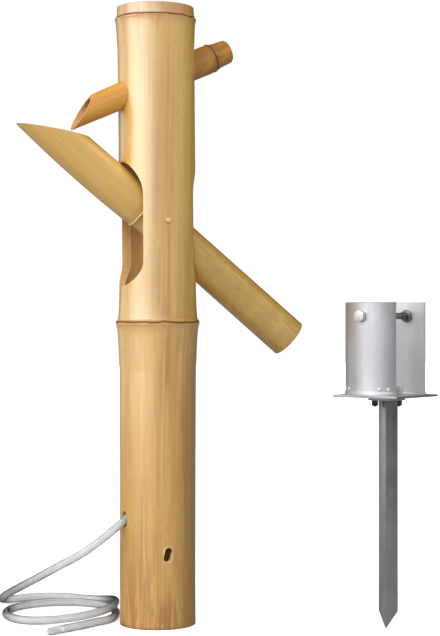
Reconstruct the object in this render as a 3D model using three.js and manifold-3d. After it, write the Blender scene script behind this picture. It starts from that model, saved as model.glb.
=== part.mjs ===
// A shishi odoshi: an upright bamboo column, a spout fed by the hose inside it, and a rocker that fills from the
// spout, tips forward, empties and knocks back. Beside it stands the steel ground spike whose jaws take its foot.
// Millimetres and degrees, +Z up. The origin is the centre of the column's foot. The pivot runs along Y and the
// rocker's mouth points to -X.
import * as THREE from "three";
import { mergeVertices, toCreasedNormals } from "three/addons/utils/BufferGeometryUtils.js";
import Module from "manifold-3d";

const { degToRad, lerp, smoothstep } = THREE.MathUtils;
const wasm = await Module();
wasm.setup();

// Clearances
const seatGap = 0.3; // air between pieces that touch
const groundGap = 0.15; // air under a hose that lies on the ground
const overrun = 4; // how far a cut runs past what it cuts

// The upright column: one node between two internodes, a second node just under the rim
const column = {
  footRadius: 60,
  wall: 8.5, // below the middle node
  radius: 60.8, // above the middle node
  upperWall: 9.3,
  footToNode: 479,
  stub: 18.5, // from the upper node to the rim
  diaphragm: 8, // the wood across the bore at a node
  edge: 1.2, // the worn edge of the foot and the rim
  bow: 4, // how far the grown cane leans out at the rim
};
const columnRing = { height: 5.6, below: 77, above: 52 };
const rimRing = { height: 3.6, below: 50, above: 17 };

// The rocker, measured along its axis from the pivot, forward positive
const rocker = {
  aboveNode: 158.8, // the pivot above the column's middle node
  restSlope: 40.15, // how steeply the mouth points up at rest
  radius: 31.3,
  nodeStep: 2.2, // how much thicker the cane is ahead of its node
  tipTaper: 2.5,
  tailFlare: 1,
  wall: 5.5,
  tail: 288,
  tip: 269,
  lip: 170, // where the scoop's cut leaves the upper side
  node: 33,
  kink: 3.65, // the turn of the cane at its node
  kinkReach: 9,
  curl: 6.2, // how far the front internode curls up to its tip
  diaphragm: 7,
  sideShift: 2, // towards -Y on the pivot
};
const rockerRing = { height: 2.1, below: 13, above: 13 };

// The two opposed slots that the rocker swings in
const slot = {
  skew: 7.6, // the slots and the spout are turned from the rocker's plane towards -Y
  sideClearance: 3.5,
  restClearance: 0.6, // between the rocker's upper side and the arch at rest
  archRise: 52,
  sillDrop: 37,
  sillBelowPivot: 101.8,
};

// The pivot, a wooden dowel through the column and the rocker
const dowel = { radius: 4, proud: 3, edge: 0.8, rockerClearance: 0.4 };

// The spout, measured along its axis from the column's axis, forward and down positive
const spout = {
  overRocker: 3.65, // the air between it and the resting rocker
  belowNode: 96.7, // its axis below the column's upper node
  slope: 24.13,
  tipRadius: 19.2,
  radius: 21.8, // on the column's axis
  shoulderRadius: 23.2, // just ahead of its node
  neckRadius: 20.4, // just behind its node
  tailRadius: 18.9,
  wall: 4.5,
  stubWall: 5.5,
  lip: 113,
  tip: 168,
  tail: 134,
  node: 101,
  diaphragm: 6,
  tailEdge: 3,
};
const spoutRing = { height: 1.6, below: 10, above: 8 };

// The clear hose
const hose = { radius: 6.5, sideHoleHeight: 169.8, exitBelowHole: 3, exitSlope: 34.5, exitHeading: 14, endRun: 3 };
const sideHole = { radius: 8.3, spread: 4.2 };
const boltHole = { belowBolt: 6, radius: 6, spread: 5, slant: 1.2 };
// the hose's ways inside the column: aside of its axis, and in from the bore on the -Y side
const nodeHole = { x: 8, fromBore: 15.5, clearance: 1.2 };
const risingHose = { x: 12, fromBore: 9.6, insideSpout: 14, clearance: 0.6 };

// Points along the middle of the hose inside the column: x, y and the height above the side hole or below the
// spout's floor, and heights from the column's node and from the pivot
const aboveSideHole = [
  [-35.8, -9.8, 14.4],
  [-26.3, -9, 49.2],
  [-14, -17, 120.2],
  [-1, -27, 195.2],
];
const aboutNode = { below: 40, above: 72 };
const aboutPivot = { below: 40, above: 55 };
const belowSpoutFloor = [
  [10.6, -37.4, 114],
  [5, -18, 68],
  [0.8, -3, 30],
  [0, 0, 12],
];

// The loops of the hose on the ground: two ovals, one moving over into the other
const coil = {
  turns: 1.378,
  moveTurns: 0.509, // how many turns the first oval takes to become the second
  startAngle: 139.1,
  heading: -15.2,
  first: { x: -123.8, y: 181.4, long: 99.9, short: 93.3 },
  second: { x: -132.7, y: 112.3, long: 88.5, short: 93.2 },
  crossingClearance: 0.9,
};
// Where the upper loop climbs over the lower one, as shares of the coil's length
const humpShares = { rise: 0.149, top: 0.276, end: 0.28, fall: 0.574 };

// The ringed connector on the hose's end
const fitting = { length: 29, radius: 6.3, noseRadius: 4, bore: 3, boreDepth: 20, ringHeight: 0.6 };
const fittingRings = { count: 4, from: 4, pitch: 3.6, width: 1.6 };

// The ground spike, measured from its own axis; it stands beside the column on its point
const spike = { x: 330.9, y: -141.6, heading: 30 };
const jaw = {
  radius: 60.4, // inside, for the column's foot
  wall: 2,
  height: 144,
  halfAngle: 52,
  flare: 1.4,
  flareHeight: 7,
  pipAngles: [28.3, 41.4],
  pipHeight: 10,
  pipRadius: 3.4,
  pipProud: 1.3,
};
const plate = { side: 120, thickness: 3.5, corner: 2, turn: 3.4 };
const underPlate = { side: 42, thickness: 5.5, corner: 1.5, right: 2 };
const angle = { length: 356, leg: 22, thickness: 3, point: 26, heel: 13.4, turn: 22, right: 4 };
const clampBolt = { radius: 5, belowRim: 21, across: 17, headHeight: 6.5, nutHeight: 8, proud: 4 };
const flangeBolt = { radius: 3, across: 13, headHeight: 8, collarRadius: 6, collarHeight: 4.5, proud: 1.5 };
const flangeNut = { across: 9, height: 8 };
// Where the two flange bolts stand, seen on the plates' front corner
const flangePlaces = { left: { right: -16.4, back: 0 }, right: { right: 21.8, back: 3 } };

// How finely round things are divided
const sides = {
  column: 48,
  rocker: 40,
  spout: 36,
  hole: 20,
  jaw: 88,
  bolt: 16,
  hose: 10,
  coil: 6,
  fitting: 14,
  pip: 8,
  corner: 4,
  arch: 10,
};
const creaseAngle = 35;
const spineSteps = 40;
const rockerSteps = 8;
const boreSteps = 6;
const searchSteps = 60;
const halvings = 16;
const coilStepsPerTurn = 24;
const diametersPerHoseStep = 2.4;
const diametersPerCoilStep = 2;
const gapSamples = 900;

// Places worked out from the sizes above
const boreRadius = column.footRadius - column.wall;
const upperBoreRadius = column.radius - column.upperWall;
const pivotHeight = column.footToNode + rocker.aboveNode;
const rockerFrontRadius = rocker.radius + rocker.nodeStep;
const slotHalfWidth =
  rockerFrontRadius +
  column.radius * Math.sin(degToRad(slot.skew)) -
  rocker.sideShift +
  slot.sideClearance;
const halfTurn = Math.PI;
const quarterTurn = Math.PI / 2;

// Where the leaning internode of the column is divided, as shares of its length
const leanShares = [0.2, 0.34, 0.48, 0.62, 0.76, 0.9];

// Outer shape of a bamboo node: shares of the ring's reach and of its height, from below it to above
const ringShares = [
  [-1, 0],
  [-0.58, 0.22],
  [-0.36, 0.36],
  [-0.2, 0.52],
  [-0.09, 0.74],
  [-0.035, 1],
  [0.03, 1],
  [0.09, 0.5],
  [0.24, 0.27],
  [0.52, 0.12],
  [1, 0],
];

// Finishes
const paint = (color, roughness, metalness = 0) => new THREE.MeshStandardMaterial({ color, roughness, metalness });
const finishes = {
  columnCane: paint(0xd2a864, 0.45),
  rockerCane: paint(0xcf9f55, 0.38),
  spoutCane: paint(0xa8743a, 0.42),
  dowelWood: paint(0xe2c493, 0.6),
  clearHose: paint(0xc9cccd, 0.25),
  steel: paint(0xb9bbc0, 0.35, 1),
  darkIron: paint(0x6f6d6b, 0.5, 1),
  bolts: paint(0xd7d8da, 0.3, 1),
};

// Solids from closed geometries, and back

function solid(geometry) {
  const bare = geometry.index ? geometry.toNonIndexed() : geometry.clone();
  bare.deleteAttribute("normal");
  bare.deleteAttribute("uv");
  const merged = mergeVertices(bare);
  return new wasm.Manifold(
    new wasm.Mesh({
      numProp: 3,
      vertProperties: merged.attributes.position.array,
      triVerts: new Uint32Array(merged.index.array),
    }),
  );
}

function geometryOf(shape) {
  const mesh = shape.getMesh();
  const geometry = new THREE.BufferGeometry();
  geometry.setAttribute("position", new THREE.BufferAttribute(mesh.vertProperties, 3));
  geometry.setIndex(new THREE.BufferAttribute(mesh.triVerts, 1));
  return toCreasedNormals(geometry, degToRad(creaseAngle));
}

function cutFrom(body, cutters) {
  return cutters.reduce((rest, cutter) => rest.subtract(cutter), body);
}

function node(name, shape, finish, placement) {
  const geometry = shape.isBufferGeometry ? shape : geometryOf(shape);
  const mesh = new THREE.Mesh(geometry, finish);
  mesh.name = name;
  if (placement) mesh.applyMatrix4(placement);
  return mesh;
}

// A placement: tipped about Y first, then turned about Z, then moved
function placed({ tip = 0, turn = 0, x = 0, y = 0, z = 0 }) {
  return new THREE.Matrix4()
    .makeRotationZ(turn)
    .multiply(new THREE.Matrix4().makeRotationY(tip))
    .setPosition(x, y, z);
}

// Sections and simple solids

function polygon(radius, count, start = 0) {
  const corners = [];
  for (let i = 0; i < count; i += 1) {
    const corner = start + (i * 2 * Math.PI) / count;
    corners.push(new THREE.Vector2(radius * Math.cos(corner), radius * Math.sin(corner)));
  }
  return corners;
}

// A round bar along X, from one distance to another
function bar(radius, from, to, count) {
  return new THREE.CylinderGeometry(radius, radius, to - from, count)
    .rotateZ(-quarterTurn)
    .translate((from + to) / 2, 0, 0);
}

// A round bar along Z
function post(radius, from, to, count) {
  return new THREE.CylinderGeometry(radius, radius, to - from, count)
    .rotateX(quarterTurn)
    .translate(0, 0, (from + to) / 2);
}

// A flat outline pushed up along Z
function prism(outline, from, to) {
  const depth = to - from;
  const shape = { depth, bevelEnabled: false, curveSegments: sides.corner };
  return new THREE.ExtrudeGeometry(outline, shape).translate(0, 0, from);
}

// An outline drawn in X and Z, as deep along Y as its width says
function slab(outline, width) {
  return new THREE.ExtrudeGeometry(new THREE.Shape(outline), { depth: width, bevelEnabled: false })
    .rotateX(quarterTurn)
    .translate(0, width / 2, 0);
}

function squareOutline(side, corner) {
  const half = side / 2;
  const flat = half - corner;
  return new THREE.Shape()
    .moveTo(flat, -half)
    .absarc(flat, -flat, corner, -quarterTurn, 0)
    .absarc(flat, flat, corner, 0, quarterTurn)
    .absarc(-flat, flat, corner, quarterTurn, halfTurn)
    .absarc(-flat, -flat, corner, halfTurn, halfTurn + quarterTurn);
}

function hexagon(across) {
  return new THREE.Shape(polygon(across / 2 / Math.cos(halfTurn / 6), 6));
}

// A hexagon-headed bolt along Z: the head starts at a height, the shank hangs below it
function hexBolt(across, headHeight, radius, length, low = 0) {
  const head = solid(prism(hexagon(across), low, low + headHeight));
  return head.add(solid(post(radius, -length, low + headHeight / 2, sides.bolt)));
}

function hexNut(across, height, radius) {
  return solid(prism(hexagon(across), 0, height)).subtract(
    solid(post(radius, -overrun, height + overrun, sides.bolt)),
  );
}

// Bamboo

// The value at a place between stations, each a place and a value
function between(stations, place) {
  const last = stations.length - 1;
  if (place <= stations[0][0]) return stations[0][1];
  if (place >= stations[last][0]) return stations[last][1];
  const next = stations.findIndex(([at]) => at > place);
  const [fromPlace, fromValue] = stations[next - 1];
  const [toPlace, toValue] = stations[next];
  return lerp(fromValue, toValue, (place - fromPlace) / (toPlace - fromPlace));
}

function ringPlace(ring, share) {
  return ring.at + share * (share < 0 ? ring.below : ring.above);
}

function ringHeight(ring, place) {
  const stations = ringShares.map(([share, height]) => [ringPlace(ring, share), height * ring.height]);
  return between(stations, place);
}

// A cane along X: a revolve of its stations, with its rings on top
function cane(stations, rings, count, edges = {}) {
  const first = stations[0][0];
  const last = stations[stations.length - 1][0];
  const { startEdge = 0, endEdge = 0 } = edges;
  const places = new Set(stations.map(([place]) => place));
  for (const ring of rings) for (const [share] of ringShares) places.add(ringPlace(ring, share));
  if (startEdge) places.add(first + startEdge);
  if (endEdge) places.add(last - endEdge);
  const radiusAt = (place) =>
    between(stations, place) + rings.reduce((sum, ring) => sum + ringHeight(ring, place), 0);
  const outline = [];
  for (const place of [...places].filter((at) => at >= first && at <= last).sort((a, b) => a - b)) {
    const worn = place === first ? startEdge : place === last ? endEdge : 0;
    outline.push(new THREE.Vector2(radiusAt(place) - worn, place));
  }
  outline.unshift(new THREE.Vector2(0, first));
  outline.push(new THREE.Vector2(0, last));
  return new THREE.LatheGeometry(outline, count).rotateZ(-quarterTurn);
}

// Moves each point of a geometry
function reshape(geometry, move) {
  const position = geometry.attributes.position;
  const point = new THREE.Vector3();
  for (let i = 0; i < position.count; i += 1) {
    move(point.fromBufferAttribute(position, i));
    position.setXYZ(i, point.x, point.y, point.z);
  }
  return geometry;
}

// The column leans out a little above its middle node, away from the rocker's mouth side
function bowed(geometry) {
  const reach = columnHeight - column.footToNode;
  const heading = degToRad(coil.heading) + halfTurn;
  return reshape(geometry, (point) => {
    const share = Math.max(0, point.z - column.footToNode) / reach;
    point.x += column.bow * share * share * Math.cos(heading);
    point.y += column.bow * share * share * Math.sin(heading);
  });
}

function upright(geometry) {
  return bowed(geometry.rotateY(-quarterTurn));
}

// The rocker's slope along its length, from the direction of its rear internode
function rockerSlope(along) {
  const kinked = smoothstep(along, rocker.node - rocker.kinkReach, rocker.node + rocker.kinkReach);
  const curled = Math.max(0, along - rocker.node) / (rocker.tip - rocker.node);
  return degToRad(rocker.curl * curled - rocker.kink * kinked);
}

function rockerSpine(along) {
  const step = along / spineSteps;
  let x = 0;
  let z = 0;
  for (let i = 0; i < spineSteps; i += 1) {
    const slope = rockerSlope((i + 0.5) * step);
    x += step * Math.cos(slope);
    z += step * Math.sin(slope);
  }
  return { x, z, slope: rockerSlope(along) };
}

function bent(geometry) {
  return reshape(geometry, (point) => {
    const spine = rockerSpine(point.x);
    point.x = spine.x - point.z * Math.sin(spine.slope);
    point.z = spine.z + point.z * Math.cos(spine.slope);
  });
}

// How high the slots' arch must stand so that the resting rocker just lies under it
function archTop() {
  const rest = degToRad(rocker.restSlope);
  const skew = degToRad(slot.skew);
  let top = 0;
  for (let i = 0; i <= searchSteps; i += 1) {
    const spine = rockerSpine(rocker.node + (i / searchSteps) * 2 * column.radius);
    for (let j = 1; j < searchSteps; j += 1) {
      const across = rockerFrontRadius * ((2 * j) / searchSteps - 1);
      const out = Math.sqrt(rockerFrontRadius ** 2 - across ** 2);
      const x = spine.x - out * Math.sin(spine.slope);
      const z = spine.z + out * Math.cos(spine.slope);
      const forward = x * Math.cos(rest) - z * Math.sin(rest);
      const height = x * Math.sin(rest) + z * Math.cos(rest);
      const towardViewer = across + rocker.sideShift;
      const ahead = forward * Math.cos(skew) + towardViewer * Math.sin(skew);
      const aside = towardViewer * Math.cos(skew) - forward * Math.sin(skew);
      const inWall = Math.hypot(ahead, aside) <= column.radius + slot.restClearance;
      if (!inWall || Math.abs(aside) >= slotHalfWidth) continue;
      const archDrop = slot.archRise * (1 - Math.sqrt(1 - (aside / slotHalfWidth) ** 2));
      top = Math.max(top, pivotHeight + height + archDrop + slot.restClearance);
    }
  }
  return top;
}

const slotTop = archTop();
const slotSill = pivotHeight - slot.sillBelowPivot;
const boltHoleHeight = jaw.height - clampBolt.belowRim - boltHole.belowBolt;

function slotCutter() {
  const archFoot = slotTop - slot.archRise;
  const sillEnd = slotSill + slot.sillDrop;
  const outline = new THREE.Shape()
    .moveTo(slotHalfWidth, sillEnd)
    .lineTo(slotHalfWidth, archFoot)
    .absellipse(0, archFoot, slotHalfWidth, slot.archRise, 0, halfTurn)
    .lineTo(-slotHalfWidth, sillEnd)
    .absellipse(0, sillEnd, slotHalfWidth, slot.sillDrop, halfTurn, 2 * halfTurn);
  const depth = 2 * (column.radius + columnRing.height + overrun);
  return solid(
    new THREE.ExtrudeGeometry(outline, { depth, bevelEnabled: false, curveSegments: sides.arch })
      .rotateX(quarterTurn)
      .translate(0, depth / 2, 0)
      .rotateZ(quarterTurn + degToRad(slot.skew)),
  );
}

const spoutStations = [
  [-spout.tail, spout.tailRadius],
  [-spout.node - spoutRing.below, spout.neckRadius],
  [-spout.node + spoutRing.above, spout.shoulderRadius],
  [0, spout.radius],
  [spout.tip, spout.tipRadius],
];

// The spout's outside, a little larger all round where a hole is made for it
function spoutOutside(grown = 0) {
  const stations = spoutStations.map(([place, radius]) => [place, radius + grown]);
  const ring = { ...spoutRing, at: -spout.node };
  return cane(stations, grown ? [] : [ring], sides.spout, { startEdge: grown ? 0 : spout.tailEdge });
}

function bambooColumn() {
  const halfDiaphragm = column.diaphragm / 2;
  const stations = [
    [0, column.footRadius],
    [column.footToNode / 3, lerp(column.footRadius, column.radius, 1 / 3)],
    [column.footToNode, column.radius],
  ];
  // above the node, enough stations to follow the lean
  for (const share of leanShares) {
    stations.push([lerp(column.footToNode, upperNode, share), column.radius]);
  }
  stations.push([columnHeight, column.radius]);
  const rings = [
    { ...columnRing, at: column.footToNode },
    { ...rimRing, at: upperNode },
  ];
  const worn = { startEdge: column.edge, endEdge: column.edge };
  const outside = solid(upright(cane(stations, rings, sides.column, worn)));
  const bore = (radius, from, to, steps) => {
    const places = [];
    for (let i = 0; i <= steps; i += 1) places.push([lerp(from, to, i / steps), radius]);
    return solid(upright(cane(places, [], sides.column)));
  };
  const upperBottom = column.footToNode + halfDiaphragm;
  const lowerBore = bore(boreRadius, -overrun, column.footToNode - halfDiaphragm, 1);
  const upperBore = bore(upperBoreRadius, upperBottom, upperNode - halfDiaphragm, boreSteps);
  const stubBore = bore(upperBoreRadius, upperNode + halfDiaphragm, columnHeight + overrun, 1);

  const dowelHole = solid(
    bar(dowel.radius + seatGap, -2 * column.radius, 2 * column.radius, sides.bolt)
      .rotateZ(quarterTurn)
      .translate(0, 0, pivotHeight),
  );
  // overlapping drillings through both walls for the clamp's bolt
  const boltDrillings = [-1, 0, 1].map((way) =>
    solid(
      bar(boltHole.radius, -2 * column.radius, 2 * column.radius, sides.hole)
        .rotateZ(quarterTurn)
        .translate(way * boltHole.slant, 0, boltHoleHeight + way * boltHole.spread),
    ),
  );
  const sideDrillings = [-1, 1].map((way) =>
    solid(
      bar(sideHole.radius, 0, 2 * column.radius, sides.hole)
        .rotateZ(halfTurn + degToRad(hose.exitHeading))
        .translate(0, 0, hose.sideHoleHeight + way * sideHole.spread),
    ),
  );
  const throughNode = solid(
    post(
      hose.radius + nodeHole.clearance,
      column.footToNode - column.diaphragm,
      column.footToNode + column.diaphragm,
      sides.hole,
    ).translate(nodeHole.x, nodeHole.fromBore - boreRadius, 0),
  );
  const spoutHoles = solid(spoutOutside(seatGap).applyMatrix4(spoutPlace));
  return cutFrom(outside, [
    lowerBore,
    upperBore,
    stubBore,
    slotCutter(),
    dowelHole,
    ...boltDrillings,
    ...sideDrillings,
    throughNode,
    spoutHoles,
  ]);
}

function rockerTube() {
  const stations = [
    [-rocker.tail, rocker.radius + rocker.tailFlare],
    [rocker.node - rockerRing.below, rocker.radius],
    [rocker.node + rockerRing.above, rockerFrontRadius],
  ];
  const frontEnd = rocker.tip + rocker.tipTaper;
  for (let i = 1; i <= rockerSteps; i += 1) {
    const share = i / rockerSteps;
    const place = lerp(rocker.node + rockerRing.above, frontEnd, share);
    stations.push([place, rockerFrontRadius - rocker.tipTaper * share]);
  }
  const ring = { ...rockerRing, at: rocker.node };
  const outside = solid(bent(cane(stations, [ring], sides.rocker, { startEdge: column.edge })));

  const inside = (from, to) => {
    const count = Math.round((rockerSteps * (to - from)) / rocker.tail);
    const wallStations = [];
    for (let i = 0; i <= count; i += 1) {
      const place = lerp(from, to, i / count);
      wallStations.push([place, between(stations, place) - rocker.wall]);
    }
    return solid(bent(cane(wallStations, [], sides.rocker)));
  };
  const rearChamber = inside(-rocker.tail - overrun, rocker.node - rocker.diaphragm / 2);
  const frontChamber = inside(rocker.node + rocker.diaphragm / 2, frontEnd + overrun);

  // the scoop: everything above a line from the lip on the upper side to the tip on the lower one
  const surface = (along, way) => {
    const spine = rockerSpine(along);
    const out = way * between(stations, along);
    return new THREE.Vector2(
      spine.x - out * Math.sin(spine.slope),
      spine.z + out * Math.cos(spine.slope),
    );
  };
  const lip = surface(rocker.lip, 1);
  const tip = surface(rocker.tip, -1);
  const reach = tip.clone().sub(lip);
  const before = lip.clone().addScaledVector(reach, -1);
  const after = tip.clone().addScaledVector(reach, 1);
  const beyond = after.clone().setY(after.y + 4 * rocker.tip);
  const above = before.clone().setY(before.y + 4 * rocker.tip);
  const scoop = solid(slab([before, after, beyond, above], 4 * rocker.radius));

  const pivotHole = solid(
    bar(
      dowel.radius + dowel.rockerClearance,
      -2 * rocker.radius,
      2 * rocker.radius,
      sides.hole,
    ).rotateZ(quarterTurn),
  );
  return cutFrom(outside, [rearChamber, frontChamber, scoop, pivotHole]);
}

function spoutTube() {
  const outside = solid(spoutOutside());
  const halfDiaphragm = spout.diaphragm / 2;
  const chamber = solid(
    cane(
      [
        [halfDiaphragm - spout.node, spout.shoulderRadius - spout.wall],
        [0, spout.radius - spout.wall],
        [spout.tip + overrun, spout.tipRadius - spout.wall],
      ],
      [],
      sides.spout,
    ),
  );
  const stubBore = solid(
    bar(spout.tailRadius - spout.stubWall, -spout.tail - overrun, -spout.node - halfDiaphragm, sides.spout),
  );
  // the mouth: cut aslant from the lip on the upper side to the tip on the lower one
  const lip = new THREE.Vector2(spout.lip, between(spoutStations, spout.lip));
  const tip = new THREE.Vector2(spout.tip, -spout.tipRadius);
  const reach = tip.clone().sub(lip);
  const before = lip.clone().addScaledVector(reach, -1);
  const after = tip.clone().addScaledVector(reach, 1);
  const beyond = new THREE.Vector2(after.x + spout.tip, after.y);
  const above = new THREE.Vector2(after.x + spout.tip, before.y);
  const mouth = solid(slab([before, after, beyond, above], 4 * spout.radius));
  // the hose comes straight up through the underside
  const hoseHole = solid(
    post(hose.radius + risingHose.clearance, -3 * spout.radius, 0, sides.hole).rotateY(-degToRad(spout.slope)),
  );
  return cutFrom(outside, [chamber, stubBore, mouth, hoseHole]);
}

// The placements of the rocker and the spout
const rockerPlace = placed({
  tip: -degToRad(rocker.restSlope),
  turn: halfTurn,
  y: -rocker.sideShift,
  z: pivotHeight,
});
function spoutPlaceAt(height) {
  return placed({ tip: degToRad(spout.slope), turn: halfTurn + degToRad(slot.skew), z: height });
}

// How high the spout lies so that the resting rocker is just clear of it
function clearSpoutHeight() {
  const resting = rockerTube().transform(rockerPlace.elements);
  const pouring = spoutTube();
  let low = pivotHeight;
  let high = pivotHeight + rocker.tip + spout.tip;
  for (let i = 0; i < halvings; i += 1) {
    const middle = (low + high) / 2;
    const gap = resting.minGap(pouring.transform(spoutPlaceAt(middle).elements), 2 * spout.overRocker);
    if (gap < spout.overRocker) low = middle;
    else high = middle;
  }
  return high;
}

const spoutHeight = clearSpoutHeight();
const spoutPlace = spoutPlaceAt(spoutHeight);
const upperNode = spoutHeight + spout.belowNode;
const columnHeight = upperNode + column.stub;

function pivotDowel() {
  const end = column.radius + dowel.proud;
  const outline = [
    [-end, dowel.radius],
    [end, dowel.radius],
  ];
  const worn = { startEdge: dowel.edge, endEdge: dowel.edge };
  return solid(cane(outline, [], sides.bolt, worn));
}

// Hoses

// A round hose along smooth points
function hoseTube(points, count, diametersPerStep = diametersPerHoseStep) {
  const route = new THREE.CatmullRomCurve3(points, false, "centripetal");
  const steps = Math.round(route.getLength() / (2 * hose.radius * diametersPerStep));
  const section = new THREE.Shape(polygon(hose.radius, count));
  return new THREE.ExtrudeGeometry(section, { steps, bevelEnabled: false, extrudePath: route });
}

const point = (x, y, z) => new THREE.Vector3(x, y, z);

// The hose's way through the side hole: outwards and down, at a distance from the column's axis
const exitHeight = hose.sideHoleHeight - hose.exitBelowHole;
function onExitLine(radius) {
  const heading = halfTurn + degToRad(hose.exitHeading);
  const drop = (radius - column.radius) * Math.tan(degToRad(hose.exitSlope));
  return point(radius * Math.cos(heading), radius * Math.sin(heading), exitHeight - drop);
}

// Inside the column: in through the side, up by the wall, past the rocker, and into the spout's underside
function innerHose() {
  const spoutFloor = spoutHeight - (spout.radius - spout.wall) / Math.cos(degToRad(spout.slope));
  const throughNode = (height) => point(nodeHole.x, nodeHole.fromBore - boreRadius, height);
  const pastRocker = (height) => point(risingHose.x, risingHose.fromBore - upperBoreRadius, height);
  const route = [
    onExitLine(column.radius),
    onExitLine(boreRadius),
    ...aboveSideHole.map(([x, y, above]) => point(x, y, hose.sideHoleHeight + above)),
    throughNode(column.footToNode - aboutNode.below),
    throughNode(column.footToNode),
    pastRocker(column.footToNode + aboutNode.above),
    pastRocker(pivotHeight - aboutPivot.below),
    pastRocker(pivotHeight),
    pastRocker(pivotHeight + aboutPivot.above),
    ...belowSpoutFloor.map(([x, y, below]) => point(x, y, spoutFloor - below)),
    point(0, 0, spoutFloor + risingHose.insideSpout),
  ];
  return hoseTube(route, sides.hose);
}

const groundHeight = hose.radius + groundGap;

function coilPoint(share) {
  const moved = smoothstep(share * coil.turns, 0, coil.moveTurns);
  const mix = (key) => lerp(coil.first[key], coil.second[key], moved);
  const around = degToRad(coil.startAngle) - share * coil.turns * 2 * Math.PI;
  const long = mix("long") * Math.cos(around);
  const short = mix("short") * Math.sin(around);
  const heading = degToRad(coil.heading);
  const { rise, top, end, fall } = humpShares;
  const hump = smoothstep(share, rise, top) * (1 - smoothstep(share, end, fall));
  return point(
    mix("x") + long * Math.cos(heading) - short * Math.sin(heading),
    mix("y") + long * Math.sin(heading) + short * Math.cos(heading),
    groundHeight + hump * (2 * hose.radius + coil.crossingClearance),
  );
}

// The coil's points, with a short straight run at either end
function coilRoute() {
  const steps = Math.round(coil.turns * coilStepsPerTurn);
  const points = [];
  for (let i = 0; i <= steps; i += 1) points.push(coilPoint(i / steps));
  const startRun = points[0].clone().sub(points[1]).setLength(hose.endRun);
  const endRun = points[steps].clone().sub(points[steps - 1]).setLength(hose.endRun);
  startRun.z = 0;
  endRun.z = 0;
  points.unshift(points[0].clone().add(startRun));
  points.push(points[points.length - 1].clone().add(endRun));
  return points;
}

const loops = coilRoute();

// A point straight on past the end of the loops
function pastLoops(end, inner, distance) {
  return end.clone().add(end.clone().sub(inner).setLength(distance));
}

const beforeLoops = (distance) => pastLoops(loops[0], loops[1], distance);
const afterLoops = (distance) => pastLoops(loops[loops.length - 1], loops[loops.length - 2], distance);

// The free stretch from the side hole down to the ground
const exitStep = seatGap * Math.cos(degToRad(hose.exitSlope));
const dropRoute = [
  onExitLine(column.radius + exitStep),
  onExitLine(column.radius + 2 * hose.radius),
  point(-100, -23.5, 138.2),
  point(-128, -14.5, 117.4),
  point(-155, 11, 97.8),
  point(-171, 42, 82.1),
  point(-183, 75, 67.7),
  point(-192, 104, 56.4),
  point(-199, 134, 45.3),
  point(-204, 166, 34.9),
  point(-209, 195, 24.5),
  point(-209, 223.5, 14.7),
  point(-203.5, 239, 10),
  point(-194.5, 250.8, 7.6),
  beforeLoops(hose.endRun),
  beforeLoops(seatGap),
];

// The last stretch, from the loops to the connector
const tailRoute = [
  afterLoops(seatGap),
  afterLoops(hose.endRun),
  point(-54.6, 59.5, groundHeight),
  point(-67.4, 31.6, groundHeight),
  point(-81.8, 16.7, groundHeight),
  point(-95.4, 8.5, groundHeight),
  point(-111, -2.7, groundHeight),
  point(-124, -12, groundHeight),
  point(-144.6, -24.7, groundHeight),
  point(-162.4, -36, groundHeight),
];

function endFitting() {
  const outline = [new THREE.Vector2(0, 0), new THREE.Vector2(fitting.radius - fitting.ringHeight, 0)];
  for (let i = 0; i < fittingRings.count; i += 1) {
    const start = fittingRings.from + i * fittingRings.pitch;
    const groove = fitting.radius - fitting.ringHeight;
    outline.push(new THREE.Vector2(groove, start));
    outline.push(new THREE.Vector2(fitting.radius, start + fittingRings.width / 4));
    outline.push(new THREE.Vector2(fitting.radius, start + fittingRings.width));
    outline.push(new THREE.Vector2(groove, start + fittingRings.width));
  }
  const noseStart = fitting.length - (fitting.radius - fitting.noseRadius);
  outline.push(new THREE.Vector2(fitting.radius - fitting.ringHeight, noseStart));
  outline.push(new THREE.Vector2(fitting.noseRadius, fitting.length));
  outline.push(new THREE.Vector2(fitting.bore, fitting.length));
  outline.push(new THREE.Vector2(fitting.bore, fitting.length - fitting.boreDepth));
  outline.push(new THREE.Vector2(0, fitting.length - fitting.boreDepth));
  return new THREE.LatheGeometry(outline, sides.fitting).rotateZ(-quarterTurn);
}

function fittingPlace() {
  const last = tailRoute[tailRoute.length - 1];
  const way = last.clone().sub(tailRoute[tailRoute.length - 2]).normalize();
  const seat = last.clone().addScaledVector(way, seatGap);
  const turn = Math.atan2(way.y, way.x);
  return placed({ turn, x: seat.x, y: seat.y, z: groundHeight });
}

// The least air between stretches of the free hose that aren't neighbours along it
function leastHoseGap() {
  const route = [...dropRoute, ...loops, ...tailRoute];
  const curve = new THREE.CatmullRomCurve3(route, false, "centripetal");
  const samples = curve.getSpacedPoints(gapSamples);
  const apart = Math.ceil((6 * hose.radius * gapSamples) / curve.getLength());
  let least = Infinity;
  for (let i = 0; i < gapSamples; i += 1) {
    for (let j = i + apart; j <= gapSamples; j += 1) {
      least = Math.min(least, samples[i].distanceTo(samples[j]) - 2 * hose.radius);
    }
  }
  return least;
}

// The ground spike

const plateTop = angle.length + underPlate.thickness + plate.thickness + 2 * seatGap;
const clampHeight = plateTop + jaw.height - clampBolt.belowRim;

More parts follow.
